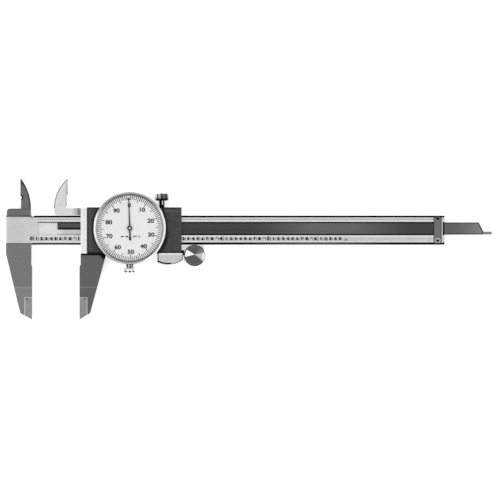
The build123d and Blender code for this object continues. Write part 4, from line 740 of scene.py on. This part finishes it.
def printed_stroke(length, width):
    """Raised stroke of ink with rounded ends, centred, with its length along Y."""
    bpy.ops.mesh.primitive_plane_add(size=1)
    piece = bpy.context.active_object
    piece.scale = (width * MM, length * MM, 1)
    bpy.ops.object.transform_apply(location=False, rotation=False, scale=True)
    bpy.ops.object.mode_set(mode="EDIT")
    bpy.ops.mesh.select_all(action="SELECT")
    bpy.ops.mesh.bevel(offset=width * 0.3 * MM, affect="VERTICES")
    bpy.ops.mesh.extrude_region_move(TRANSFORM_OT_translate={"value": (0, 0, PRINT_HEIGHT * MM)})
    bpy.ops.object.mode_set(mode="OBJECT")
    return piece


def printed_text(words, height, bold=0.0, wide=1.0):
    """Raised words or figures of ink, centred, with a stated height and a share of their own width."""
    bpy.ops.object.text_add()
    piece = bpy.context.active_object
    piece.data.body = words
    piece.data.offset = bold * MM
    piece.data.size = 1.4 * height * MM
    piece.data.resolution_u = 4
    piece.data.extrude = PRINT_HEIGHT * MM / 2
    bpy.ops.object.convert(target="MESH")
    piece = bpy.context.active_object
    xs = [v.co.x for v in piece.data.vertices]
    ys = [v.co.y for v in piece.data.vertices]
    share = height * MM / (max(ys) - min(ys))
    centre = Vector(((max(xs) + min(xs)) / 2, (max(ys) + min(ys)) / 2, -PRINT_HEIGHT * MM / 2))
    place_in_mesh(piece, Matrix.Diagonal((share * wide, share, 1, 1)) @ Matrix.Translation(-centre))
    return piece


def joined(name, pieces, body):
    """Join pieces of print into one, which rides on a body."""
    only(pieces[0])
    for piece in pieces:
        piece.select_set(True)
    if len(pieces) > 1:
        bpy.ops.object.join()
    result = bpy.context.active_object
    result.name = name
    result.data.name = name
    result.data.materials.clear()
    result.data.materials.append(ink)
    for polygon in result.data.polygons:
        polygon.material_index = 0
    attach(result, body)
    bpy.ops.object.select_all(action="DESELECT")
    return result


def copies(master, matrices):
    """Copies of a piece at each place, each with its own mesh, in place of the master."""
    made = []
    for matrix in matrices:
        piece = master.copy()
        piece.data = master.data.copy()
        bpy.context.collection.objects.link(piece)
        place_in_mesh(piece, matrix)
        made.append(piece)
    bpy.data.objects.remove(master)
    return made


def at(x, y, z, turn=0.0):
    """Place in millimetres, turned about Z by an angle in degrees."""
    return Matrix.Translation((x * MM, y * MM, z * MM)) @ Matrix.Rotation(radians(turn), 4, "Z")


def beam_scale():
    """Inch scale along the beam's lower strip."""
    level = BEAM_FRONT
    pieces = []
    tenths = [i for i in range(SCALE_TENTHS + 1) if i % 10]
    line_x = [SCALE_ZERO + INCH * i / 10 for i in tenths]
    pieces += copies(printed_stroke(1.75, 0.26), [at(x, -5.75, level) for x in line_x])
    whole_x = [SCALE_ZERO + INCH * i for i in range(SCALE_INCHES + 1)]
    pieces += copies(printed_stroke(2.45, 0.34), [at(x, -5.6, level) for x in whole_x])
    for digit in range(1, 10):
        places = [at(SCALE_ZERO + INCH * i / 10 - 0.95, -5.6, level) for i in tenths if i % 10 == digit]
        pieces += copies(printed_text(str(digit), 1.75, 0.2, 1.12), places)
    for inch, x in enumerate(whole_x):
        pieces += copies(printed_text(str(inch), 2.1, 0.2, 1.1), [at(x - 1.25, -5.5, level)])
    joined("beam_scale", pieces, "beam")
    unit = printed_text("in", 1.5, 0.03)
    joined("scale_unit", copies(unit, [at(116.0, -6.1, level)]), "beam")


def zero_mark():
    """Wedge at zero that points to the dial's centre."""
    piece = printed_stroke(2.0, 1.5)
    bpy.ops.object.mode_set(mode="EDIT")
    bpy.ops.mesh.select_all(action="DESELECT")
    bpy.ops.object.mode_set(mode="OBJECT")
    for vertex in piece.data.vertices:
        vertex.select = vertex.co.y < 0
    bpy.ops.object.mode_set(mode="EDIT")
    bpy.ops.mesh.select_mode(type="VERT")
    bpy.ops.transform.resize(value=(0.4, 1, 1))
    bpy.ops.object.mode_set(mode="OBJECT")
    place = Matrix.Rotation(radians(DIAL_TURN), 4, "Z") @ at(0, ZERO_MARK_RADIUS, DIAL_FRONT)
    return copies(piece, [place])[0]


def dial_print():
    """Hundred graduations, their numbers, the value of one and two arrow marks."""
    pieces = []
    kinds = (
        (2.4, 0.4, lambda i: i % 5 != 0),
        (3.4, 0.4, lambda i: i % 10 == 5),
        (3.5, 0.44, lambda i: i % 10 == 0 and i),
    )
    for length, width, chosen in kinds:
        places = []
        for i in range(100):
            if chosen(i):
                around = Matrix.Rotation(radians(DIAL_TURN - 3.6 * i), 4, "Z")
                places.append(around @ at(0, TICK_RADIUS - length / 2, DIAL_FRONT))
        pieces += copies(printed_stroke(length, width), places)
    pieces.append(zero_mark())
    joined("dial_graduations", pieces, "bezel")
    numbers = []
    for i in range(10):
        angle = radians(90 + DIAL_TURN - 36 * i)
        x = NUMBER_CENTRE[0] + NUMBER_RADII[0] * cos(angle)
        y = NUMBER_CENTRE[1] + NUMBER_RADII[1] * sin(angle) + NUMBER_SHIFTS.get(i, 0)
        numbers += copies(printed_text(str(10 * i), 2.45, 0.15, 1.14), [at(x, y, DIAL_FRONT)])
    joined("dial_numbers", numbers, "bezel")
    value = copies(printed_text(".001 in", 0.95, 0.05, 1.3), [at(3.6, -4.35, DIAL_FRONT)])
    arrows = []
    for x in (-4.0, -1.55):
        arrows += copies(printed_stroke(1.7, 0.7), [at(x, -4.45, DIAL_FRONT, 90)])
    joined("dial_value_marks", value + arrows, "bezel")


beam_scale()
dial_print()


# Studio
def pale_floor():
    """White floor that keeps the object's shadow."""
    bpy.ops.mesh.primitive_plane_add(size=6, location=(0, 0, -0.0002))
    floor = bpy.context.active_object
    floor.name = "floor"
    material = bpy.data.materials.new("white_floor")
    material.use_nodes = True
    nodes, links = material.node_tree.nodes, material.node_tree.links
    shader = nodes["Principled BSDF"]
    shader.inputs["Base Color"].default_value = (0.92, 0.92, 0.92, 1)
    shader.inputs["Roughness"].default_value = 0.9
    shader.inputs["Specular IOR Level"].default_value = 0.0
    light_path = nodes.new("ShaderNodeLightPath")
    seen = nodes.new("ShaderNodeMath")
    seen.operation = "MAXIMUM"
    links.new(light_path.outputs["Is Camera Ray"], seen.inputs[0])
    links.new(light_path.outputs["Is Glossy Ray"], seen.inputs[1])
    also = nodes.new("ShaderNodeMath")
    also.operation = "MAXIMUM"
    links.new(seen.outputs[0], also.inputs[0])
    links.new(light_path.outputs["Is Transmission Ray"], also.inputs[1])
    glow = nodes.new("ShaderNodeMath")
    glow.operation = "MULTIPLY"
    glow.inputs[1].default_value = 0.5
    links.new(also.outputs[0], glow.inputs[0])
    shader.inputs["Emission Color"].default_value = (1, 1, 1, 1)
    links.new(glow.outputs[0], shader.inputs["Emission Strength"])
    floor.data.materials.append(material)


def soft_room():
    """Bright ceiling and sides, darker in front and behind, as round a copy stand."""
    world = bpy.data.worlds.new("copy_stand_room")
    bpy.context.scene.world = world
    world.use_nodes = True
    nodes, links = world.node_tree.nodes, world.node_tree.links
    background = nodes["Background"]
    coordinates = nodes.new("ShaderNodeTexCoord")
    split = nodes.new("ShaderNodeSeparateXYZ")
    links.new(coordinates.outputs["Generated"], split.inputs[0])

    def math(operation, a, b=0.0):
        node = nodes.new("ShaderNodeMath")
        node.operation = operation
        for value, socket in zip((a, b), node.inputs):
            if isinstance(value, float):
                socket.default_value = value
            else:
                links.new(value, socket)
        return node.outputs[0]

    def ramp(value, low, high):
        node = nodes.new("ShaderNodeMapRange")
        node.interpolation_type = "SMOOTHSTEP"
        links.new(value, node.inputs["Value"])
        node.inputs["From Min"].default_value = low
        node.inputs["From Max"].default_value = high
        return node.outputs["Result"]

    across = math("MULTIPLY", split.outputs[0], split.outputs[0])
    along = math("MULTIPLY", split.outputs[1], split.outputs[1])
    sideways = math("DIVIDE", across, math("ADD", math("ADD", across, along), 0.0001))
    sides = math("MULTIPLY", ramp(sideways, 0.25, 0.85), 0.65)
    ceiling = ramp(split.outputs[2], 0.4, 0.7)
    level = math("MAXIMUM", math("ADD", sides, 0.35), ceiling)
    colour = nodes.new("ShaderNodeCombineColor")
    for socket in colour.inputs[:3]:
        links.new(level, socket)
    links.new(colour.outputs[0], background.inputs["Color"])


def lamps():
    """One soft key lamp from the upper left."""
    bpy.ops.object.light_add(type="SUN", rotation=(radians(-24), radians(-24), 0))
    key = bpy.context.active_object
    key.name = "key_lamp"
    key.data.energy = 0.3
    key.data.angle = radians(60)


def catalogue_camera():
    """Camera straight above, as in the photograph."""
    bpy.ops.object.camera_add(location=(0.0645, -0.01169, 1.0), rotation=(0, 0, 0))
    camera = bpy.context.active_object
    camera.data.type = "ORTHO"
    camera.data.ortho_scale = 0.26810
    camera.data.clip_end = 20
    bpy.context.scene.camera = camera


pale_floor()
soft_room()
lamps()
catalogue_camera()
bpy.context.scene.view_settings.view_transform = "Standard"
